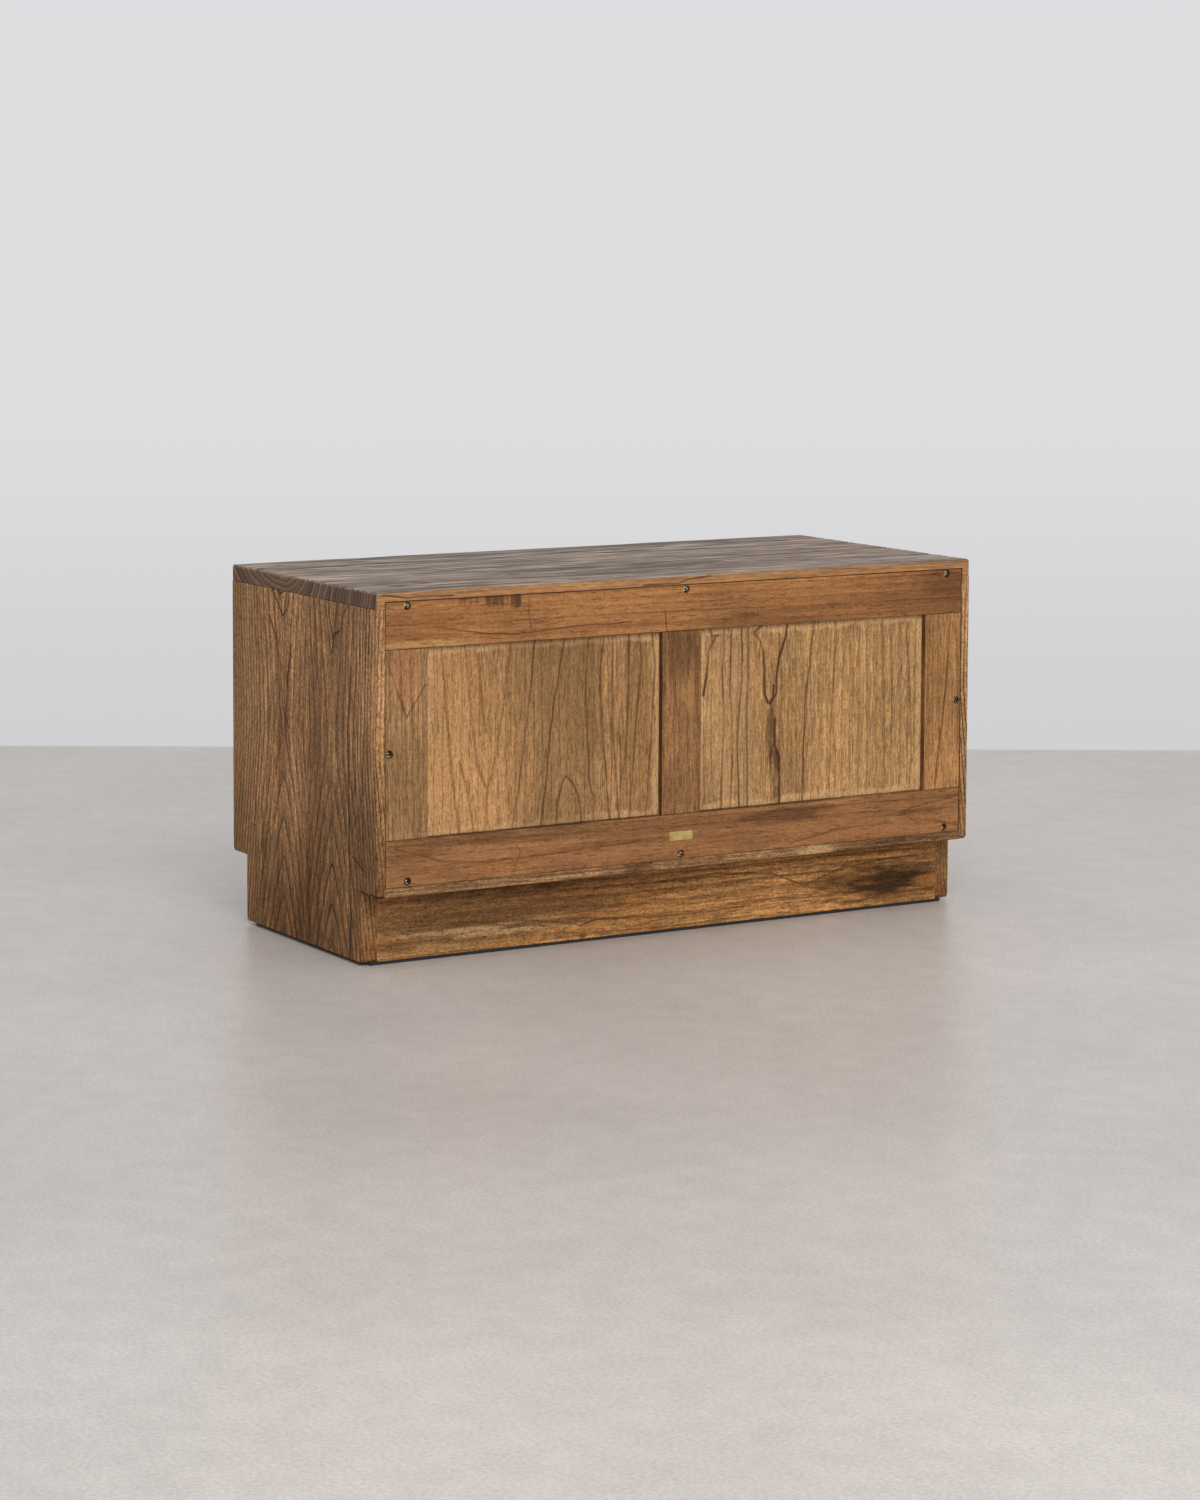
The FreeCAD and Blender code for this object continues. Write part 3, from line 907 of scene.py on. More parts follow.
@dataclass(frozen=True)
class BrushedFinish:
    """Grey wire-brushed wood, whose dark hollows follow the relief in the mesh.

    Attributes:
        name: Name of the material.
        ridge: Tone of the raised grain.
        hollow: Tone down in the grain.
        brown: Tone that shows through where the grey is thin.
        edge: Tone of the long edges.
        end: Tone of the end grain.
        half_length: Half the board's length.
        half_depth: Half the board's depth.
        heart: Place of the heart of the tree, across and up, which the end grain circles.
        cracks: Dark lines on the long edges.
        bands: Each layer of streaks, with its contrast; the streaks are partly grain tone and partly painted
            shade of the brushed relief.
        figure: How the rings run over the upper face.
        ring_gap: Gap between the end grain's rings.
        ring_wander: How far those rings stray.
        squeeze: Factor for distances to the front of the heart, where the rings lie further apart.
        worn: Heights between which the ends' upper edge turns to the ridge tone.
        seed: Keeps two boards apart.
    """

    # Noises of the upper face, the values between which they take hold, and what they do
    HAIR = Streak(620.0, 14.0)
    HAIR_CONTRAST = 0.2
    HAIR_DEPTH = 0.0004
    PATCH = Streak(14.0, 1.6)
    PATCH_REACH = (0.35, 0.7)
    BAND_REACH = (0.37, 0.6)
    BAND_LIFT = 0.4
    HOLLOW_RAMP = (0.4, 0.9, 0.0, 0.75)
    GROOVE_REACH = (0.5, 0.95)
    GROOVE_FORCE = (0.2, 0.9, 0.25, 1.0)
    BREAK = Streak(110.0, 14.0, seed=7.0)
    BREAK_RAMP = (0.38, 0.52, 0.15, 1.0)
    ROUGH_RAMP = (0.2, 0.8, 0.72, 0.56)
    GLOSS = 0.3

    # The same for the edges and the ends, and how near a face its tone begins
    EDGE_STREAKS = ((Streak(480.0, 9.0, 3.0), 0.26), (Streak(300.0, 60.0), 0.24))
    EDGE_LINE = Streak(170.0, 3.5)
    EDGE_LINE_RAMP = (0.60, 0.66, 0.0, 0.5)
    END_WAVES = 40.0
    END_RING_RAMP = (0.2, 1.0, 1.35, 0.5)
    END_LOT_RAMP = (0.0, 1.0, 0.6, 1.35)
    END_PORES = 700.0
    END_PORE_CONTRAST = 0.35
    END_WEAR = 130.0
    END_WEAR_RAMP = (0.4, 0.6, 0.0, 0.6)
    FACE_REACH = (0.0015, 0.0004)

    name: str
    ridge: Colour
    hollow: Colour
    brown: Colour
    edge: Colour
    end: Colour
    half_length: float
    half_depth: float
    heart: Span
    cracks: GrainLines
    bands: tuple[tuple[Streak, float], ...] = (
        (Streak(50.0, 1.6), 0.20),
        (Streak(95.0, 4.0), 0.28),
        (Streak(140.0, 13.0), 0.34),
        (Streak(260.0, 9.0), 0.28),
        (Streak(480.0, 14.0), 0.38),
    )
    figure: Figure = Figure(lean=58.0, swing=1.4, period=0.33, valley=-0.06, climb=1.0, sway=1.6, ripple=0.3)
    ring_gap: float = 0.0085
    ring_wander: float = 0.012
    squeeze: float = 0.6
    worn: Span = (0.5205, 0.5235)
    seed: float = 0.0

    def material(self) -> bpy.types.Material:
        """Builds the material from Object coordinates and the mesh's own brush depth.

        Returns:
            The finished material.
        """
        sheet = BoardSheet(self.name, Lie.LEVEL_TO_TOP, self.seed)
        hair = sheet.streaks(self.HAIR)
        colour = sheet.mix(sheet.ramp(sheet.streaks(self.PATCH), *self.PATCH_REACH), self.ridge, self.brown)
        # Streaks that are partly grain tone and partly painted shade of the brushed relief.
        for streak, contrast in self.bands:
            darkest, lightest = 1.0 - contrast, 1.0 + self.BAND_LIFT * contrast
            light = sheet.ramp(sheet.streaks(streak), *self.BAND_REACH, darkest, lightest)
            colour = sheet.shade(colour, light)
        colour = sheet.vary(colour, hair, self.HAIR_CONTRAST)
        depth = sheet.attribute(BRUSH_DEPTH)
        colour = sheet.mix(sheet.ramp(depth, *self.HOLLOW_RAMP), colour, self.hollow)
        colour = sheet.mix(self._grooves(sheet), colour, self.hollow)
        colour = sheet.mix(self._near(sheet, sheet.across, self.half_depth), colour, self._edge(sheet))
        colour = sheet.mix(self._near(sheet, sheet.along, self.half_length), colour, self._end(sheet))
        return sheet.end(sheet.shader({
            "Base Color": colour,
            "Roughness": sheet.ramp(hair, *self.ROUGH_RAMP),
            "Specular IOR Level": self.GLOSS,
            "Normal": sheet.relief(hair, self.HAIR_DEPTH),
        }))

    def _grooves(self, sheet: BoardSheet) -> Number:
        """Share of the hollow tone in the ring lines, which differ in depth and break in places.

        Args:
            sheet: Node sheet of the board.

        Returns:
            The share, from 0 to 1.
        """
        rings, _ = self.figure.rings(sheet)
        chance = sheet.lot(sheet.sum(Step.WHOLE, rings) + 0.5)
        groove = sheet.ramp(sheet.sum(Step.PART, rings), *self.GROOVE_REACH)
        force = sheet.ramp(chance, *self.GROOVE_FORCE)
        broken = sheet.ramp(sheet.streaks(self.BREAK), *self.BREAK_RAMP)
        return groove * force * broken

    def _near(self, sheet: BoardSheet, place: Number, half: float) -> Number:
        """Share that is 1 at the two faces that stand at plus and minus half, and 0 further in."""
        return sheet.ramp(abs(place), *(half - reach for reach in self.FACE_REACH))

    def _edge(self, sheet: BoardSheet) -> Socket:
        """Warm tone of the long edges, with dark lines along them.

        Args:
            sheet: Node sheet of the board.

        Returns:
            The colour's socket.
        """
        colour: Paint = self.edge
        for streak, contrast in self.EDGE_STREAKS:
            colour = sheet.vary(colour, sheet.streaks(streak), contrast)
        dark = sheet.ramp(sheet.streaks(self.EDGE_LINE), *self.EDGE_LINE_RAMP)
        return self.cracks.draw(sheet, sheet.through, sheet.mix(dark, colour, self.hollow))

    def _end_cloud(self, sheet: BoardSheet, count: float) -> Number:
        """Noise on the board's ends, with so many waves for each metre."""
        return sheet.cloud(sheet.waves((sheet.across, sheet.through), (count, count)), self.seed + count)

    def _end(self, sheet: BoardSheet) -> Socket:
        """End grain: uneven arcs of rings round the heart, with open pores and a worn upper edge.

        Args:
            sheet: Node sheet of the board.

        Returns:
            The colour's socket.
        """
        wide = sheet.across - self.heart[0]
        wide = sheet.sum(Step.LARGER, wide, wide * -self.squeeze)
        wander = self._end_cloud(sheet, self.END_WAVES) - sheet.NOISE_MIDDLE
        reach = sheet.reach(wide, sheet.through - self.heart[1]) + wander * self.ring_wander
        rings = reach / self.ring_gap
        chance = sheet.lot(sheet.sum(Step.WHOLE, rings))
        colour = sheet.shade(self.end, sheet.ramp(sheet.sum(Step.PART, rings), *self.END_RING_RAMP))
        colour = sheet.shade(colour, sheet.ramp(chance, *self.END_LOT_RAMP))
        colour = sheet.vary(colour, self._end_cloud(sheet, self.END_PORES), self.END_PORE_CONTRAST)
        patchy = sheet.ramp(self._end_cloud(sheet, self.END_WEAR), *self.END_WEAR_RAMP)
        return sheet.mix(sheet.ramp(sheet.through, *self.worn) * patchy, colour, self.ridge)


@dataclass(frozen=True)
class MetalFinish:
    """Handled metal with cloudy tarnish and fine scratches.

    Attributes:
        name: Name of the material.
        bright: Tone where it is rubbed.
        dull: Tone where it is tarnished.
        rough: Mean roughness.
        blotch: Waves of tarnish for each metre.
        split: Noise values at which the metal is still bright, and all tarnished.
        scratch: Waves of the scratches for each metre, along each axis.
    """

    ROUGH_REACH = (0.3, 0.7)
    ROUGH_SWING = (-0.08, 0.12)
    SCRATCH_DEPTH = 0.00006

    name: str
    bright: Colour
    dull: Colour
    rough: float
    blotch: float = 90.0
    split: Span = (0.35, 0.7)
    scratch: Triple = (60.0, 900.0, 1800.0)

    def material(self) -> bpy.types.Material:
        """Builds the material from Object coordinates.

        Returns:
            The finished material.
        """
        sheet = NodeSheet(self.name)
        places = sheet.places()
        cloudy = sheet.cloud(sheet.waves(places, (self.blotch,) * 3), 1.0, 3.0)
        scratch = sheet.cloud(sheet.waves(places, self.scratch), 2.0)
        rough = (self.rough + swing for swing in self.ROUGH_SWING)
        return sheet.end(sheet.shader({
            "Base Color": sheet.mix(sheet.ramp(cloudy, *self.split), self.bright, self.dull),
            "Metallic": 1.0,
            "Roughness": sheet.ramp(cloudy, *self.ROUGH_REACH, *rough),
            "Normal": sheet.relief(scratch, self.SCRATCH_DEPTH),
        }))


@dataclass(frozen=True)
class RubberFinish:
    """Matt black strip with dust in its grain.

    Attributes:
        name: Name of the material.
        body: Tone of the clean strip.
        dust: Tone of the dust on it.
        grain: Waves of the grain for each metre, along each axis.
    """

    DUST_RAMP = (0.45, 0.8, 0.0, 0.5)
    ROUGH_RAMP = (0.3, 0.7, 0.62, 0.8)
    GRAIN_DEPTH = 0.0002

    name: str
    body: Colour
    dust: Colour
    grain: Triple = (500.0, 900.0, 900.0)

    def material(self) -> bpy.types.Material:
        """Builds the material from Object coordinates.

        Returns:
            The finished material.
        """
        sheet = NodeSheet(self.name)
        grit = sheet.cloud(sheet.waves(sheet.places(), self.grain), 1.0, 3.0)
        return sheet.end(sheet.shader({
            "Base Color": sheet.mix(sheet.ramp(grit, *self.DUST_RAMP), self.body, self.dust),
            "Roughness": sheet.ramp(grit, *self.ROUGH_RAMP),
            "Normal": sheet.relief(grit, self.GRAIN_DEPTH),
        }))


def show(node: str, material: bpy.types.Material) -> None:
    """Dresses a CAD node's own object.

    Args:
        node: Name of the node.
        material: Finish that it gets.
    """
    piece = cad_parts[node]
    if not piece.material_slots:
        piece.data.materials.append(material)
    for place in piece.material_slots:
        place.material = material
    LOG.info("dressed %s in %s", node, material.name)


def put_in_scene(name: str, data: bpy.types.ID) -> bpy.types.Object:
    """Makes an object of a mesh, a lamp or a camera, at the origin.

    Args:
        name: Name of the object.
        data: What it holds.

    Returns:
        The new object.
    """
    piece = bpy.data.objects.new(name, data)
    bpy.context.scene.collection.objects.link(piece)
    return piece


def place_mesh(
    name: str, shape: bmesh.types.BMesh, material: Optional[bpy.types.Material] = None,
) -> bpy.types.Object:
    """Makes an object of a finished bmesh, at the origin.

    Args:
        name: Name of the piece.
        shape: Its shape, in the shared frame; it is freed.
        material: Finish that it gets, if any.

    Returns:
        The new object.
    """
    mesh = bpy.data.meshes.new(name)
    shape.to_mesh(mesh)
    shape.free()
    if material:
        mesh.materials.append(material)
    return put_in_scene(name, mesh)


def block(low: Vector, high: Vector) -> bmesh.types.BMesh:
    """Makes a plain block between two corners.

    Args:
        low: Lowest corner.
        high: Highest corner.

    Returns:
        The block.
    """
    shape = bmesh.new()
    bmesh.ops.create_cube(shape, size=1.0)
    bmesh.ops.scale(shape, vec=high - low, verts=shape.verts)
    bmesh.ops.translate(shape, vec=(low + high) / 2.0, verts=shape.verts)
    return shape


def carve(piece: bpy.types.Object, cuts: Iterable[Box]) -> None:
    """Cuts blocks out of a piece for good.

    Args:
        piece: Piece to cut.
        cuts: Lowest and highest corner of each block.
    """
    cutters = []
    for low, high in cuts:
        cutter = place_mesh("cutter", block(low, high))
        step = piece.modifiers.new("cut", "BOOLEAN")
        step.operation = "DIFFERENCE"
        step.solver = "EXACT"
        step.object = cutter
        cutters.append(cutter)
    solid = piece.evaluated_get(bpy.context.evaluated_depsgraph_get())
    carved = bpy.data.meshes.new_from_object(solid)
    piece.modifiers.clear()
    piece.data = carved
    for cutter in cutters:
        bpy.data.objects.remove(cutter)


@dataclass(frozen=True)
class BrushWave:
    """One layer of the brushed relief: a noise that is drawn out along the grain.

    Attributes:
        force: Its rise, up and down.
        along: Waves for each metre along the grain.
        across: Waves for each metre across it.
        seed: Keeps two layers apart.
    """

    force: float
    along: float
    across: float
    seed: float

    def at(self, x: float, y: float) -> float:
        """Its value at a place on the upper face."""
        return self.force * noise.noise(Vector((x * self.along, y * self.across, self.seed)))


@dataclass
class TopBoard:
    """The top: one thick board, wire-brushed along its grain.

    Attributes:
        node: CAD node that it stands for.
        arris: Radius of the upper and upright edges.
        ease: Radius of the lower edges.
        round_steps: Faces round each edge.
        brush: Deepest relief of the brushed grain.
        mean: Share of that depth that the relief lies at.
        drift: How the layers of the relief stray across the grain, in metres.
        layers: Layers of the relief that follow the grain.
        patches: Slow changes of its depth.
        across_step: Mesh step across the grain.
        along_step: Mesh step along the grain.
        rebate_ends: Half the length of the rebate for the back frame.
        rebate_front: Front face of that rebate.
        rebate_rise: Height of that rebate.
        track_ends: Half the length of the door grooves.
        track_middles: Middle of each door groove.
        track_half: Half the width of a door groove.
        track_rise: Height of a door groove.
        finish: Its finish.
    """

    node: str = "top_board"
    arris: float = 0.003
    ease: float = 0.0015
    round_steps: int = 3
    brush: float = 0.0009
    mean: float = 0.3
    drift: BrushWave = BrushWave(0.006, 2.2, 7.0, 4.0)
    layers: tuple[BrushWave, ...] = (
        BrushWave(0.8, 4.0, 55.0, 5.0),
        BrushWave(0.85, 5.0, 120.0, 1.0),
        BrushWave(0.6, 11.0, 300.0, 2.0),
    )
    patches: BrushWave = BrushWave(0.3, 3.0, 6.0, 3.0)
    across_step: float = 0.0013
    along_step: float = 0.0125
    rebate_ends: float = 0.487
    rebate_front: float = 0.2065
    rebate_rise: float = 0.011
    track_ends: float = 0.476
    track_middles: Span = (-0.2055, -0.1815)
    track_half: float = 0.0045
    track_rise: float = 0.012
    finish: BrushedFinish = BrushedFinish(
        name="brushed top",
        ridge=tone(172, 154, 140),
        hollow=tone(46, 36, 29),
        brown=tone(146, 122, 102),
        edge=tone(168, 121, 77),
        end=tone(110, 83, 63),
        half_length=0.5,
        half_depth=0.2275,
        heart=(-0.058, 0.575),
        cracks=GrainLines((
            ((490, 521), (453, 516), (434, 517), (380, 516)),
            ((73, 514), (43, 514), (13, 514), (-2, 519), (-40, 522)),
            ((-229, 523), (-265, 522), (-297, 520)),
            ((-500, 524.6), (500, 524.6)),
        ), tone(58, 38, 24), 0.0018, 0.85, 0.0006),
        seed=2.0,
    )

    def build(self) -> None:
        """Builds the brushed board, cuts its rebate and door grooves, and puts it in the node's place."""
        low, high = (Vector(corner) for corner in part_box(self.node))
        shape = block(low, high)
        self._round(shape, low.z + self.ease / 2.0)
        self._divide(shape, Axis.X, round((high.x - low.x) / self.along_step))
        self._divide(shape, Axis.Y, round((high.y - low.y) / self.across_step))
        self._brush(shape, high)
        piece = place_mesh("top_brushed_board", shape, self.finish.material())
        carve(piece, self._cuts(low, high))
        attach(piece, "carcass")
        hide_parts(self.node)
        LOG.info("built %s with %d faces", piece.name, len(piece.data.polygons))

    def _round(self, shape: bmesh.types.BMesh, underside: float) -> None:
        """Rounds the upper and upright edges first, then the lower ones.

        Args:
            shape: Shape to round.
            underside: Height under which an edge counts as a lower one.
        """
        for radius, lower in ((self.arris, False), (self.ease, True)):
            edges = [
                edge for edge in shape.edges
                if all(vert.co.z < underside for vert in edge.verts) == lower
            ]
            bmesh.ops.bevel(
                shape, geom=edges, offset=radius, segments=self.round_steps, profile=0.5, affect="EDGES",
                material=-1)

    def _cuts(self, low: Vector, high: Vector) -> list[Box]:
        """Blocks for the rebate and the door grooves.

        Args:
            low: Lowest corner of the board.
            high: Highest corner of the board.

        Returns:
            Lowest and highest corner of each block.
        """
        ends = self.rebate_ends
        under = low.z - OVERCUT
        cuts = [(
            Vector((-ends, self.rebate_front, under)),
            Vector((ends, high.y + OVERCUT, low.z + self.rebate_rise)),
        )]
        for middle in self.track_middles:
            cuts.append((
                Vector((-self.track_ends, middle - self.track_half, under)),
                Vector((self.track_ends, middle + self.track_half, low.z + self.track_rise)),
            ))
        return cuts

    def _divide(self, shape: bmesh.types.BMesh, axis: Axis, parts: int) -> None:
        """Cuts every long edge along an axis into equal parts.

        Args:
            shape: Shape to cut.
            axis: Axis that the edges follow.
            parts: Number of parts.
        """
        reach = max(vert.co[axis.value] for vert in shape.verts)
        long = [
            edge for edge in shape.edges
            if abs(edge.verts[0].co[axis.value] - edge.verts[1].co[axis.value]) > reach
        ]
        bmesh.ops.subdivide_edges(shape, edges=long, cuts=parts - 1, use_grid_fill=True)

    def _brush(self, shape: bmesh.types.BMesh, high: Vector) -> None:
        """Sinks the upper face along the grain and keeps each point's depth for the finish.

        Args:
            shape: Shape to work.
            high: Highest corner of the board.
        """
        depth = shape.verts.layers.float.new(BRUSH_DEPTH)
        for vert in shape.verts:
            if vert.co.z < high.z - self.arris:
                continue
            share = self._hollow(vert.co.x, vert.co.y)
            vert[depth] = share
            vert.co.z -= share * self.brush

    def _hollow(self, x: float, y: float) -> float:
        """Share of the full depth at a place on the upper face.

        Args:
            x: Place along the grain.
            y: Place across it.

        Returns:
            The share, from 0 to 1.
        """
        strayed = y + self.drift.at(x, y)
        share = self.mean
        for layer in self.layers:
            share += layer.at(x, strayed)
        share += self.patches.at(x, y)
        return min(max(share, 0.0), 1.0)


@dataclass
class SideBoards:
    """The two side boards, glued from planks with arched grain low on the face.

    Attributes:
        right: Finish of the right board, from which the left one's is made.
    """

    right: WoodFinish = WoodFinish(
        name="side wood right",
        lie=Lie.UPRIGHT_TO_SIDE,
        pale=tone(174, 130, 89),
        deep=tone(130, 91, 58),
        line=tone(52, 32, 18),
        figure=Figure(
            arch=4.2, point=1.3, plank=0.152, seam=-0.136, lag=0.263, start=0.531, climb=12.3, tilt=-5.8,
            turn=0.292, blunt=0.03, sway=0.4, ripple=0.12),
        line_width=0.0036,
        line_force=1.0,
        drift=0.2,
        band=0.24,
        fibre=0.3,
        fleck=0.42,
        grit=0.5,
        seed=11.0,
        # Painted shade, darker towards the floor.
        foot=(0.62, 0.57, 0.48, 1.0),
        stains=(
            Stain(0.30, -0.205, 0.40, 0.055, tone(176, 136, 93), 0.5, 0.4, 4.0),
            Stain(0.25, 0.06, 0.12, 0.05, tone(146, 106, 70), 0.4, 0.4),
            Stain(0.31, 0.2275, 0.22, 0.008, tone(178, 137, 93), 0.35, 0.8, 4.0),
            Stain(0.06, 0.1825, 0.06, 0.006, tone(188, 144, 96), 0.5, 0.7, 4.0),
            Stain(0.02, 0.1825, 0.018, 0.014, tone(160, 106, 70), 0.6, 0.6),
        ),
        lines=(
            GrainLines((
                ((503, -96), (479, -73), (466, -61), (476, -46), (497, -40)),
                ((502, -79), (497, -69), (501, -58)),
                ((461, -103), (434, -83), (411, -76), (391, -67),
                 (373, -68), (355, -65), (333, -61), (306, -41)),
                ((427, -32), (400, -40), (379, -47), (364, -46)),
                ((500, 143), (484, 126), (462, 118), (458, 107), (449, 95), (458, 95), (473, 88), (500, 84)),
                ((150, 158), (137, 187)),
                ((106, 182), (103, 200), (106, 212), (103, 228)),
            ), tone(48, 28, 16), 0.0026, 0.9, 0.002),
            GrainLines((
                ((332, 191), (244, 185), (224, 178), (184, 155)),
                ((255, 165), (231, 155)),
            ), tone(66, 40, 23), 0.0026, 0.75, 0.0008),
            GrainLines((
                ((416, 153), (372, 149), (329, 141), (250, 145), (150, 146), (60, 150), (6, 147)),
            ), tone(38, 23, 14), 0.003, 0.9, 0.0004),
        ),
    )

    def dress(self) -> None:
        """Dresses both boards; the left one is cut from further up the same planks."""
        show("side_board_right", self.right.material())
        figure = replace(self.right.figure, seam=-0.19, turn=0.35)
        left = replace(self.right, name="side wood left", figure=figure, seed=12.0, lines=())
        show("side_board_left", left.material())


@dataclass
class Plinth:
    """Plinth boards, bottom board and glue blocks on their black strips.

    Attributes:
        board: Finish of the back plinth board, from which the others are made.
        strip: Finish of the strips.
    """

    board: WoodFinish = WoodFinish(
        name="plinth wood back",
        lie=Lie.LEVEL_TO_BACK,
        pale=tone(180, 129, 77),
        deep=tone(142, 95, 52),
        line=tone(80, 49, 26),
        figure=Figure(lean=70.0, swing=0.5, period=0.12, valley=0.055, climb=1.2, sway=0.9, ripple=0.15),
        line_width=0.0030,
        line_force=0.5,
        band=0.18,
        fibre=0.26,
        fleck=0.36,
        grit=0.4,
        seed=21.0,
        stains=(
            Stain(-0.385, 0.043, 0.20, 0.038, tone(92, 61, 33), 0.9, 0.5),
            Stain(-0.395, 0.041, 0.085, 0.026, tone(44, 29, 16), 0.75, 0.9),
            Stain(-0.470, 0.035, 0.045, 0.013, tone(160, 104, 56), 0.85, 0.3),
            Stain(0.34, 0.050, 0.26, 0.06, tone(106, 78, 50), 0.65, 0.3),
            # The next two dark stains along the top of the board are partly a smear and partly painted
            # shadow under the bottom board's overhang.
            Stain(0.30, 0.090, 0.32, 0.014, tone(76, 54, 33), 0.5, 0.6),
            Stain(0.19, 0.086, 0.05, 0.007, tone(62, 42, 25), 0.5, 0.6),
            Stain(0.40, 0.056, 0.12, 0.016, tone(92, 68, 41), 0.5, 0.9),
            Stain(0.16, 0.054, 0.13, 0.016, tone(104, 77, 46), 0.5, 0.9),
            Stain(0.36, 0.035, 0.10, 0.005, tone(206, 168, 120), 0.5, 0.9),
            Stain(0.27, 0.028, 0.13, 0.005, tone(204, 166, 118), 0.55, 0.9),
            Stain(0.22, 0.041, 0.07, 0.003, tone(206, 168, 120), 0.45, 0.9),
            Stain(0.40, 0.012, 0.12, 0.010, tone(184, 142, 92), 0.45, 0.9),
            Stain(0.145, 0.008, 0.008, 0.006, tone(112, 58, 26), 0.8, 0.4),
        ),
        lines=(
            GrainLines((
                ((349, 46), (234, 40), (160, 28), (149, 24), (123, 31), (86, 29), (-28, 23), (-130, 26)),
                ((14, 76), (-84, 79), (-180, 70), (-238, 47), (-300, 66), (-380, 74), (-474, 76)),
                ((-238, 47), (-290, 33), (-370, 22), (-474, 20)),
            ), tone(92, 60, 34), 0.0024, 0.7),
        ),
    )
    strip: RubberFinish = RubberFinish("strip rubber", tone(26, 25, 24), tone(70, 66, 61))

    def dress(self) -> None:
        """Dresses the boards, the blocks and the strips."""
        show("plinth_back", self.board.material())
        plain = replace(self.board, stains=(), lines=())
        show("plinth_front", replace(plain, name="plinth wood front", seed=22.0).material())
        bottom = replace(
            plain, name="bottom wood", lie=Lie.LEVEL_TO_TOP, pale=tone(166, 126, 86), deep=tone(124, 90, 60),
            figure=Figure(lean=20.0, swing=1.5, period=0.3, climb=2.5, sway=1.0), seed=23.0,
            stains=(
                Stain(-0.225, 0.2275, 0.045, 0.004, tone(196, 158, 112), 0.8, 0.3),
                Stain(0.075, 0.2275, 0.03, 0.004, tone(86, 58, 38), 0.6, 0.4),
            ))
        show("bottom_board", bottom.material())
        show("plinth_glue_blocks", replace(plain, name="block wood", seed=24.0).material())
        rubber = self.strip.material()
        for node in ("glide_strip_front", "glide_strip_back"):
            show(node, rubber)


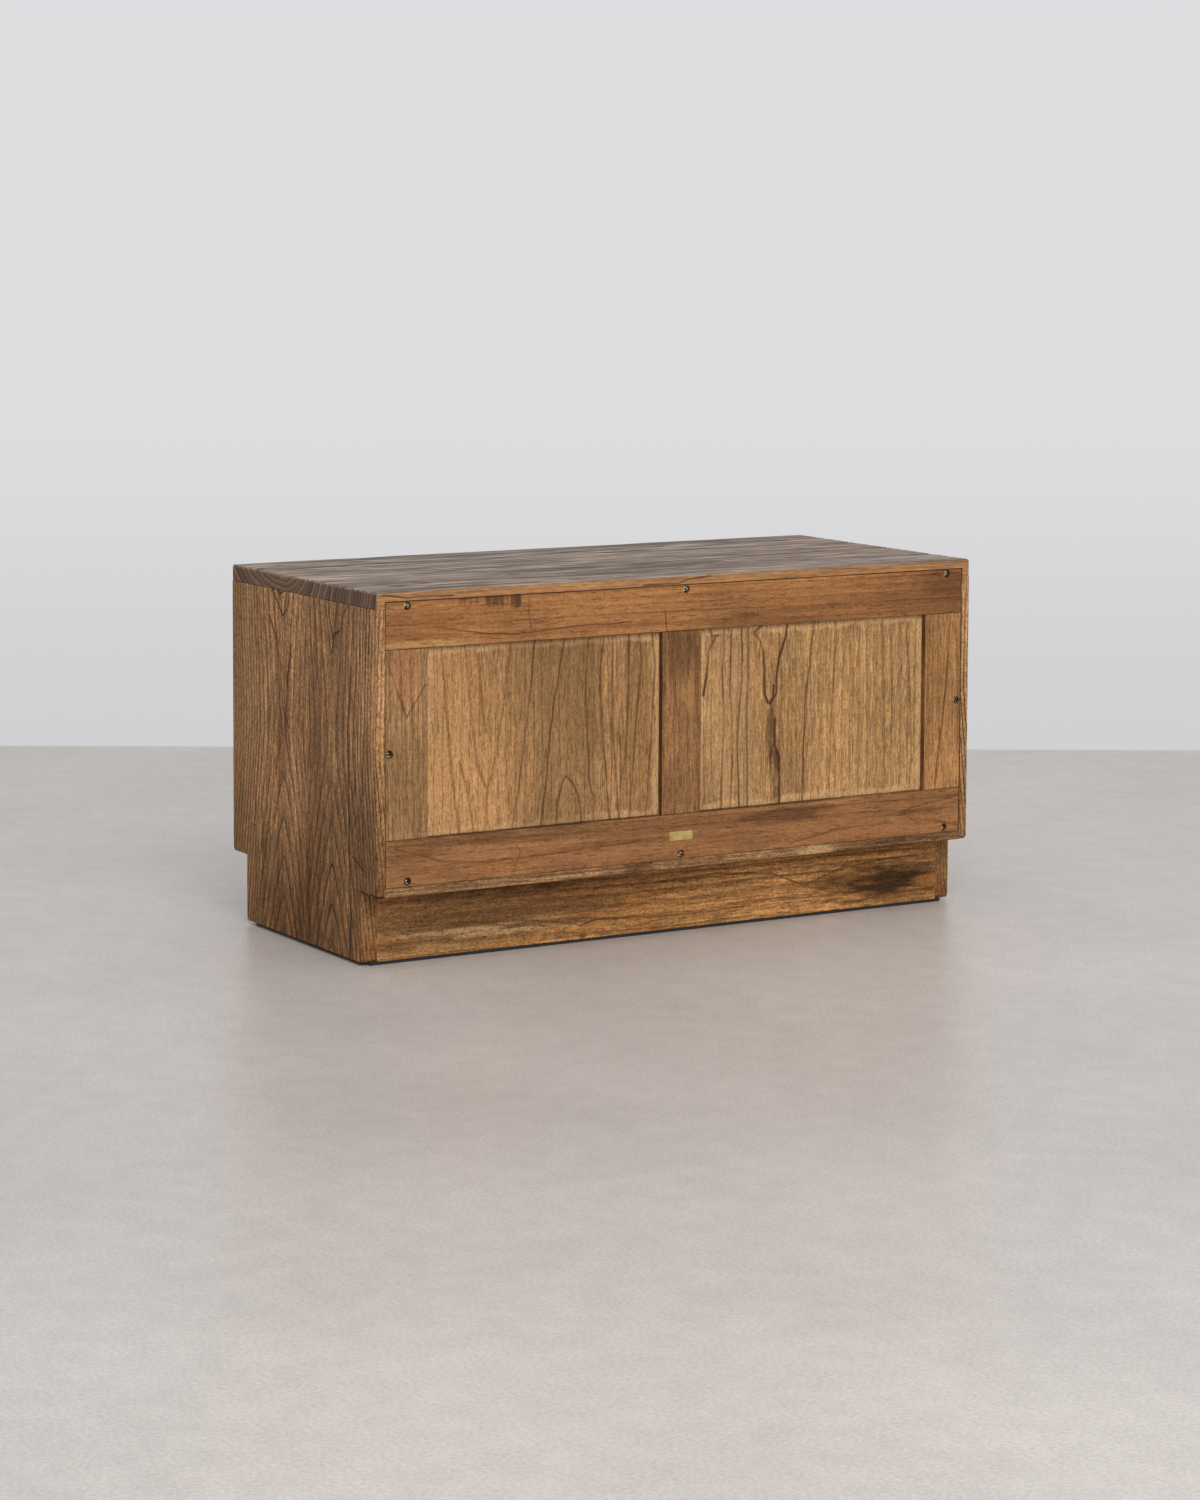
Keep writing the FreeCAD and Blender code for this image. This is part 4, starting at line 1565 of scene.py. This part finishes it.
@dataclass
class BackFrame:
    """Framed back: rails, stiles, mullion and two flat panels.

    Attributes:
        upright: Finish from which those of the rails, the stiles and the mullion are made.
        panel: Finish from which those of the panels are made.
    """

    # Edges of the panels' openings and ends of the rails in millimetres, heights of the screws in metres
    OPENING = (181, 445.2)
    RAIL_ENDS = (-486, 486)
    SCREWS_TOP = 0.5045
    SCREWS_BOTTOM = 0.1225

    upright: WoodFinish = WoodFinish(
        name="frame wood",
        lie=Lie.UPRIGHT_TO_BACK,
        pale=tone(166, 124, 81),
        deep=tone(138, 100, 64),
        line=tone(88, 56, 32),
        figure=Figure(lean=46.0, swing=0.5, period=0.20, climb=2.0),
        line_force=0.4,
        drift=0.2,
        seed=31.0,
    )
    panel: WoodFinish = WoodFinish(
        name="panel wood",
        lie=Lie.UPRIGHT_TO_BACK,
        pale=tone(182, 136, 90),
        deep=tone(150, 111, 70),
        line=tone(98, 63, 36),
        figure=Figure(swing=2.5, sway=0.2, start=0.35),
        line_force=0.9,
        seed=36.0,
        rim=Rim((0.040, 0.4202), (0.181, 0.4452), 0.013, tone(212, 167, 118), 0.8),
        fibre=0.13,
        fleck=0.32,
        grit=0.28,
    )

    def dress(self) -> None:
        """Dresses the frame members and the panels."""
        self._rails()
        self._uprights()
        self._panels()

    def _rails(self) -> None:
        """Dresses the two rails, which are redder than the rest."""
        dark = tone(66, 40, 24)
        top = replace(
            self.upright, name="rail wood top", lie=Lie.LEVEL_TO_BACK, pale=tone(164, 113, 69),
            deep=tone(136, 91, 55), line=tone(84, 50, 28),
            figure=Figure(lean=75.0, swing=0.4, period=0.12, valley=0.478, climb=0.8, sway=0.4, ripple=0.06),
            fleck=0.16, fibre=0.16, grit=0.2, saw=0.05, line_force=0.4, seed=32.0,
            stains=(
                Stain(0.45, 0.475, 0.10, 0.035, tone(130, 84, 49), 0.45, 0.4),
                Stain(0.15, 0.486, 0.15, 0.022, tone(184, 130, 80), 0.45, 0.4),
                Stain(-0.20, 0.492, 0.20, 0.02, tone(178, 124, 76), 0.35, 0.4),
                Stain(0.355, 0.507, 0.026, 0.007, dark, 0.45, 1.0, 3.0, True),
                Stain(0.312, 0.506, 0.023, 0.012, dark, 0.7, 0.7, 2.5, True),
                Stain(0.279, 0.503, 0.011, 0.014, dark, 0.8, 0.5, 2.5, True),
                Stain(0.43, 0.450, 0.12, 0.008, tone(190, 146, 96), 0.7, 0.5),
                Stain(-0.46, 0.490, 0.07, 0.03, tone(104, 66, 40), 0.6, 0.5),
                Stain(-0.10, 0.462, 0.03, 0.005, tone(84, 54, 33), 0.6, 0.6),
                # Painted shade in the holes of the screws.
                *(screw_hole_shade(along, self.SCREWS_TOP) for along in (-0.459, 0.0, 0.4515)),
            ),
            lines=(
                GrainLines((
                    ((259, 507), (260, 486), (256, 464)),
                    ((36, 476), (34, 460), (32, 443)),
                    ((395, 470), (330, 460), (280, 456), (190, 462), (90, 463)),
                ), tone(82, 48, 28), 0.0016, 0.75),
                # Painted shade in the joints round the rail, with some dirt.
                seam(self.RAIL_ENDS, (445.2, 511.2)),
            ))
        show("back_top_rail", top.material())
        low = replace(
            top, name="rail wood bottom", pale=tone(156, 108, 68), deep=tone(124, 82, 50),
            figure=Figure(lean=40.0, swing=1.0, period=0.13, valley=0.150, climb=1.5, sway=0.9),
            seed=33.0,
            stains=(
                Stain(0.28, 0.174, 0.19, 0.015, tone(88, 61, 40), 0.6, 0.5),
                Stain(0.31, 0.150, 0.15, 0.011, tone(178, 128, 84), 0.4, 0.5),
                Stain(0.10, 0.135, 0.16, 0.014, tone(172, 120, 78), 0.35, 0.5),
                Stain(-0.34, 0.128, 0.12, 0.010, tone(172, 116, 70), 0.4, 0.5),
                Stain(-0.17, 0.165, 0.10, 0.014, tone(84, 56, 36), 0.65, 0.7),
                Stain(-0.41, 0.150, 0.05, 0.008, tone(110, 68, 40), 0.5, 0.5),
                # Painted shade in the holes of the screws.
                *(screw_hole_shade(along, self.SCREWS_BOTTOM) for along in (-0.459, 0.007, 0.4515)),
            ),
            lines=(
                GrainLines((
                    ((279, 159), (272, 149), (277, 137), (283, 130)),
                ), tone(76, 48, 30), 0.0014, 0.8),
                GrainLines((
                    ((-487, 169), (-435, 162), (-401, 157),
                     (-383, 150), (-402, 138), (-444, 134), (-488, 122)),
                    ((472, 170), (395, 146), (324, 138), (223, 142), (76, 147)),
                    ((-182, 121), (-270, 136), (-359, 138)),
                ), tone(88, 54, 31), 0.0024, 0.6),
                # Painted shade in the joints round the rail, with some dirt.
                seam(self.RAIL_ENDS, (115, 181)),
            ))
        show("back_bottom_rail", low.material())

    def _uprights(self) -> None:
        """Dresses the stiles and the mullion."""
        right = replace(
            self.upright, name="stile wood right", pale=tone(160, 121, 81), deep=tone(126, 94, 63),
            stains=(
                Stain(0.415, 0.455, 0.07, 0.024, tone(168, 114, 74), 0.55, 0.3),
                # Painted shade in the hole of the screw.
                screw_hole_shade(0.3011, 0.4795),
            ),
            lines=(
                GrainLines((((438, 485), (350, 453), (394, 424)),), tone(82, 52, 30), 0.0024, 0.7),
                # Painted shade in the joints round the stile, with some dirt.
                seam(self.OPENING, (420.2, 486.2)),
            ))
        show("back_stile_right", right.material())
        left = replace(
            self.upright, name="stile wood left", pale=tone(176, 128, 81), deep=tone(136, 97, 60), seed=34.0,
            # Painted shade in the hole of the screw.
            stains=(screw_hole_shade(0.3131, -0.4795),),
            lines=(
                GrainLines((
                    ((442, -467), (350, -461), (281, -453), (219, -445), (184, -441)),
                ), tone(88, 54, 30), 0.0024, 0.75),
                # Painted shade in the joints round the stile, with some dirt.
                seam(self.OPENING, (-486.2, -420.2)),
            ))
        show("back_stile_left", left.material())
        middle = replace(
            self.upright, name="mullion wood", pale=tone(150, 108, 69), deep=tone(106, 74, 46),
            figure=Figure(lean=34.0, climb=2.0, sway=0.8, ripple=0.3), fleck=0.28, drift=0.24, seed=35.0,
            stains=(
                Stain(0.42, 0.007, 0.06, 0.05, tone(92, 63, 39), 0.55, 0.4),
                Stain(0.35, -0.010, 0.09, 0.007, tone(176, 128, 82), 0.5, 0.5),
                Stain(0.22, 0.02, 0.06, 0.02, tone(104, 72, 44), 0.4, 0.4),
            ),
            # Painted shade in the joints round the mullion, with some dirt.
            lines=(seam(self.OPENING, (-26, 40)),))
        show("back_mullion", middle.material())

    def _panels(self) -> None:
        """Dresses the two panels, sawn from one plank, with the rings that stand out on each."""
        plain = Figure(lean=70.0, climb=1.5, sway=0.9, ripple=0.2)
        right = replace(
            self.panel, name="panel wood right", figure=plain, line_force=0.35,
            stains=(
                Stain(0.31, 0.205, 0.40, 0.115, tone(116, 90, 56), 0.5, 0.1),
                Stain(0.24, 0.43, 0.34, 0.16, tone(206, 156, 106), 0.5, 0.25),
                Stain(0.30, 0.055, 0.30, 0.035, tone(190, 142, 94), 0.2, 0.3),
            ),
            lines=(GrainLines((
                ((445, 395), (397, 390), (320, 383), (264, 377), (180, 367)),
                ((445, 357), (377, 351), (312, 342), (276, 337), (247, 326), (241, 321)),
                ((445, 284), (362, 295), (301, 305), (263, 313), (241, 321), (180, 325)),
                ((445, 340), (400, 334), (345, 328), (322, 324)),
                ((280, 365), (240, 353), (205, 346), (180, 343)),
            ), tone(124, 80, 46), 0.0032, 0.6), GrainLines((
                ((445, 246), (377, 252), (306, 262), (255, 268), (180, 282)),
                ((445, 197), (386, 208), (326, 218), (299, 222), (250, 226), (180, 235)),
                ((180, 210), (215, 208), (241, 199), (249, 194), (238, 183), (216, 173), (180, 169)),
                ((445, 157), (383, 162), (335, 161), (240, 156), (212, 149), (180, 149)),
                ((445, 133), (404, 138), (363, 138), (245, 128), (180, 122)),
                ((445, 119), (301, 117), (255, 113), (180, 106)),
                ((445, 91), (390, 91), (322, 93), (258, 98), (225, 105)),
                ((445, 74), (400, 70), (332, 78), (264, 82), (180, 90)),
                ((445, 52), (398, 47), (319, 52), (239, 57), (180, 63)),
            # At the end of the next line, a dark line round the panel: painted shade in its recess joints,
            # with some dirt.
            ), tone(82, 52, 30), 0.0024, 0.72), seam(self.OPENING, (40, 420.2))))
        show("back_panel_right", right.material())
        left = replace(
            right, name="panel wood left", pale=tone(178, 136, 90), seed=37.0,
            rim=replace(self.panel.rim, across=(-0.4202, -0.026)),
            stains=(
                Stain(0.31, -0.085, 0.30, 0.055, tone(200, 156, 108), 0.5, 0.3),
                Stain(0.295, -0.152, 0.05, 0.008, tone(72, 47, 28), 0.65, 0.8),
                Stain(0.246, -0.159, 0.040, 0.012, tone(60, 38, 23), 0.8, 0.8),
                Stain(0.205, -0.160, 0.03, 0.006, tone(70, 46, 27), 0.6, 0.6),
            ),
            lines=(
                GrainLines((
                    ((445, -137), (435, -122), (421, -133), (406, -137),
                     (378, -140), (342, -141), (331, -146)),
                    ((445, -180), (424, -176), (396, -165), (368, -161), (344, -161), (329, -150)),
                    ((355, -156), (338, -155), (329, -149)),
                    ((434, -60), (433, -54), (434, -49), (445, -45)),
                    ((431, -54), (412, -44), (380, -40), (349, -35)),
                    ((305, -158), (266, -159), (251, -166), (180, -167)),
                ), tone(64, 40, 23), 0.0034, 0.9, 0.0008),
                GrainLines((
                    ((445, -227), (377, -218), (320, -211), (248, -209), (180, -208)),
                    ((440, -71), (379, -67), (311, -71), (259, -68), (180, -66)),
                    ((440, -82), (360, -80), (300, -84), (249, -85), (180, -82)),
                    ((440, -100), (370, -101), (327, -96), (274, -94), (180, -97)),
                    ((440, -110), (379, -113), (309, -109), (255, -111), (180, -112)),
                )),
                GrainLines((
                    ((440, -266), (391, -264), (337, -260), (269, -256), (180, -256)),
                    ((403, -308), (357, -298), (301, -296)),
                    ((441, -348), (336, -352), (262, -354), (187, -355)),
                    ((441, -388), (378, -397), (308, -401), (233, -403), (186, -401)),
                ), tone(104, 68, 40), 0.0022, 0.5),
                # Painted shade in the recess joints round the panel, with some dirt.
                seam(self.OPENING, (-420.2, -26)),
            ))
        show("back_panel_left", left.material())


@dataclass
class SlidingDoor:
    """One sliding door: four frame members, a panel and a brass finger cup.

    Attributes:
        side: Side of the cabinet that it closes.
        seed: Keeps its boards apart from the other door's.
        valley: Place across the panel where its rings are lowest.
        back: The back frame, whose woods it shares.
        cup: Finish of its finger cup.
    """

    side: Side
    seed: float
    valley: float
    back: BackFrame
    cup: MetalFinish

    def dress(self) -> None:
        """Dresses the door's pieces."""
        body = f"door_{self.side.value}"
        upright = self.back.upright
        level = replace(
            upright, lie=Lie.LEVEL_TO_BACK,
            figure=Figure(lean=60.0, swing=0.5, period=0.12, climb=1.2, sway=0.8))
        members = {"outer_stile": upright, "inner_stile": upright, "top_rail": level, "bottom_rail": level}
        for number, (member, wood) in enumerate(members.items()):
            wood = replace(wood, name=f"{body} {member}", seed=self.seed + number)
            show(f"{body}_{member}", wood.material())
        figure = replace(self.back.panel.figure, valley=self.valley)
        seed = self.seed + len(members)
        panel = replace(self.back.panel, name=f"{body} panel", seed=seed, figure=figure, rim=None)
        show(f"{body}_panel", panel.material())
        show(f"{body}_finger_cup", self.cup.material())


@dataclass
class Hardware:
    """Screws, brass plate, pins and dowels.

    Attributes:
        brass: Finish of the plate, its pins and the finger cups.
        steel: Finish of the screws.
        dowel: Finish of the dowels.
    """

    brass: MetalFinish = MetalFinish("brass", tone(236, 212, 146), tone(200, 170, 98), 0.36)
    steel: MetalFinish = MetalFinish(
        "screw steel", tone(222, 208, 176), tone(54, 44, 33), 0.28, 260.0, (0.42, 0.54))
    dowel: WoodFinish = WoodFinish(
        "dowel wood", Lie.LEVEL_TO_BACK, tone(196, 160, 116), tone(176, 138, 96), tone(140, 104, 70))

    def dress(self) -> None:
        """Dresses the fasteners and the plate."""
        groups = (
            (self.brass, ("brass_plate", "plate_pins")),
            (self.steel, ("back_screws",)),
            (self.dowel, ("top_dowels", "plinth_dowels")),
        )
        for finish, nodes in groups:
            material = finish.material()
            for node in nodes:
                show(node, material)


@dataclass(frozen=True)
class AreaLamp:
    """A large soft lamp.

    Attributes:
        name: Name of the lamp.
        place: Where it stands.
        target: Point that it faces.
        size: Side of its square face.
        power: Its power in watts.
    """

    name: str
    place: Triple
    target: Triple
    size: float
    power: float

    def build(self) -> None:
        """Adds the lamp, turned to its target."""
        lamp = bpy.data.lights.new(self.name, "AREA")
        lamp.size = self.size
        lamp.energy = self.power
        holder = put_in_scene(self.name, lamp)
        holder.location = self.place
        aim = Vector(self.target) - Vector(self.place)
        holder.rotation_euler = aim.to_track_quat("-Z", "Y").to_euler()


@dataclass
class Studio:
    """Pale floor, pale surroundings and soft light.

    Attributes:
        floor_tone: Colour of the floor.
        wall_tone: Colour of the surroundings.
        away: Level direction away from the camera.
        floor_end: How far behind the cabinet's middle the floor turns to the surroundings' tone.
        soft_line: Length over which it turns.
        eye: How far in front of the cabinet's middle the camera stands, and its height.
        floor_rough: Roughness of the floor.
        floor_gloss: Its specular level.
        wall_fade: Ramp of the surroundings' tone over the slope of the view.
        painted_floor_shading: Ramps of the floor's tone over the distance behind the cabinet's middle:
            painted shade in front of the cabinet, and painted light nearer the camera.
        speckles: Waves for each metre and contrast of each layer of the floor's speckle.
        half_size: Half the floor's side.
        sky: Strength of the even light from all round.
        lamps: The soft lamps.
    """

    floor_tone: Colour = tone(199, 192, 187)
    wall_tone: Colour = tone(222, 222, 224)
    away: Span = (-0.5143, -0.8576)
    floor_end: float = 1.65
    soft_line: float = 0.02
    eye: Span = (5.607, 1.0773)
    floor_rough: float = 0.36
    floor_gloss: float = 0.5
    wall_fade: Ramp = (0.05, 0.148, 1.0, 0.87)
    # Painted shade in front of the cabinet, and painted light nearer the camera.
    painted_floor_shading: tuple[Ramp, ...] = ((-1.2, -0.3, 0.93, 1.0), (-2.6, -1.2, 1.10, 1.0))
    speckles: tuple[Span, ...] = ((2.5, 0.05), (22.0, 0.05), (200.0, 0.12))
    half_size: float = 14.0
    sky: float = 0.62
    lamps: tuple[AreaLamp, ...] = (
        AreaLamp("key lamp", (1.8, 6.2, 4.6), (0.0, 0.0, 0.3), 4.0, 300.0),
        AreaLamp("overhead lamp", (-0.4, 0.4, 4.2), (0.0, 0.0, 0.0), 4.0, 30.0),
    )

    def build(self) -> None:
        """Adds the floor, the world and the lamps."""
        self._floor()
        self._world()
        for lamp in self.lamps:
            lamp.build()

    def _backdrop_ray(self, tree: bpy.types.NodeTree) -> Socket:
        """Marks the rays that should see the backdrop: seen, mirrored or let through.

        Args:
            tree: Node tree that asks.

        Returns:
            The socket of a share that is 1 for such rays.
        """
        path = tree.nodes.new("ShaderNodeLightPath")
        total: Socket = path.outputs["Is Camera Ray"]
        for name in ("Is Glossy Ray", "Is Transmission Ray"):
            step = tree.nodes.new("ShaderNodeMath")
            step.operation = Step.LARGER.value
            tree.links.new(total, step.inputs[0])
            tree.links.new(path.outputs[name], step.inputs[1])
            total = step.outputs[0]
        return total

    def _blend(self, tree: bpy.types.NodeTree, share: Socket, first: Socket, second: Socket) -> Socket:
        """Mixes two shaders.

        Args:
            tree: Node tree that they are on.
            share: Share of the second shader.
            first: First shader.
            second: Second shader.

        Returns:
            The mixed shader's socket.
        """
        blend = tree.nodes.new("ShaderNodeMixShader")
        for socket, source in zip(blend.inputs, (share, first, second)):
            tree.links.new(source, socket)
        return blend.outputs[0]

    def _floor(self) -> None:
        """Adds the floor, which turns to the surroundings' tone behind the cabinet."""
        sheet = NodeSheet("pale floor")
        x, y, _ = sheet.places()
        behind = x * self.away[0] + y * self.away[1]
        slope = self.eye[1] / (behind + self.eye[0])
        colour: Paint = self.floor_tone
        # Painted shade in front of the cabinet, and painted light nearer the camera.
        for fade in self.painted_floor_shading:
            colour = sheet.shade(colour, sheet.ramp(behind, *fade))
        for number, (count, contrast) in enumerate(self.speckles):
            speckle = sheet.cloud(sheet.waves((x, y), (count, count)), 1.0 + number, 3.0)
            colour = sheet.vary(colour, speckle, contrast)
        ground = sheet.shader({
            "Base Color": colour,
            "Roughness": self.floor_rough,
            "Specular IOR Level": self.floor_gloss,
        })
        glow = sheet.tree.nodes.new("ShaderNodeEmission")
        sheet.feed(glow.inputs["Color"], sheet.shade(self.wall_tone, sheet.ramp(slope, *self.wall_fade)))
        past = sheet.ramp(behind, self.floor_end, self.floor_end + self.soft_line)
        past = past * self._backdrop_ray(sheet.tree)
        material = sheet.end(self._blend(sheet.tree, past.socket, ground, glow.outputs[0]))
        shape = bmesh.new()
        bmesh.ops.create_grid(shape, x_segments=1, y_segments=1, size=self.half_size)
        place_mesh("floor", shape, material)

    def _world(self) -> None:
        """Sets the even light, and the plain tone that the camera sees behind the floor."""
        world = bpy.data.worlds.new("studio")
        world.use_nodes = True
        tree = world.node_tree
        tree.nodes.clear()
        light = tree.nodes.new("ShaderNodeBackground")
        light.inputs["Strength"].default_value = self.sky
        seen = tree.nodes.new("ShaderNodeBackground")
        seen.inputs["Color"].default_value = self.wall_tone
        output = tree.nodes.new("ShaderNodeOutputWorld")
        surface = self._blend(tree, self._backdrop_ray(tree), light.outputs[0], seen.outputs[0])
        tree.links.new(surface, output.inputs[0])
        bpy.context.scene.world = world


@dataclass(frozen=True)
class PhotoCamera:
    """Camera at the photograph's place, worked out from the cabinet's corners.

    Attributes:
        place: Where it stands.
        azimuth: Turn about the upright axis, in degrees.
        pitch: Tilt downwards, in degrees.
        roll: Turn about the view, in degrees.
        lens: Focal length in millimetres.
        frame_side: Long side of the frame, in millimetres.
        shift: Shift of the frame downwards, as a share of its long side.
        far: How far it sees.
    """

    place: Triple = (2.8894, 4.8049, 1.0773)
    azimuth: float = 149.056
    pitch: float = 5.078
    roll: float = 0.225
    lens: float = 91.332
    frame_side: float = 36.0
    shift: float = -0.15
    far: float = 100.0

    def build(self) -> None:
        """Adds the camera and makes it the scene's own."""
        turn, tilt, roll = (math.radians(value) for value in (self.azimuth, self.pitch, self.roll))
        ahead = Vector((-math.sin(turn) * math.cos(tilt), math.cos(turn) * math.cos(tilt), -math.sin(tilt)))
        right = Vector((math.cos(turn), math.sin(turn), 0.0))
        up = right.cross(ahead)
        level = math.cos(roll) * right + math.sin(roll) * up
        upright = math.cos(roll) * up - math.sin(roll) * right
        lens = bpy.data.cameras.new("photo camera")
        lens.lens = self.lens
        lens.sensor_width = self.frame_side
        lens.shift_y = self.shift
        lens.clip_end = self.far
        holder = put_in_scene("photo camera", lens)
        turned = Matrix((level, upright, -ahead)).transposed().to_4x4()
        holder.matrix_world = Matrix.Translation(self.place) @ turned
        bpy.context.scene.camera = holder


def main() -> None:
    """Builds and dresses the cabinet in order."""
    logging.basicConfig(level=logging.INFO, format="%(message)s")
    bpy.context.scene.view_settings.view_transform = "Standard"
    PhotoCamera().build()
    Studio().build()
    TopBoard().build()
    SideBoards().dress()
    Plinth().dress()
    back = BackFrame()
    back.dress()
    hardware = Hardware()
    hardware.dress()
    for side, seed, valley in ((Side.LEFT, 41.0, -0.21), (Side.RIGHT, 51.0, 0.15)):
        SlidingDoor(side, seed, valley, back, hardware.brass).dress()


if __name__ == "__main__":
    main()
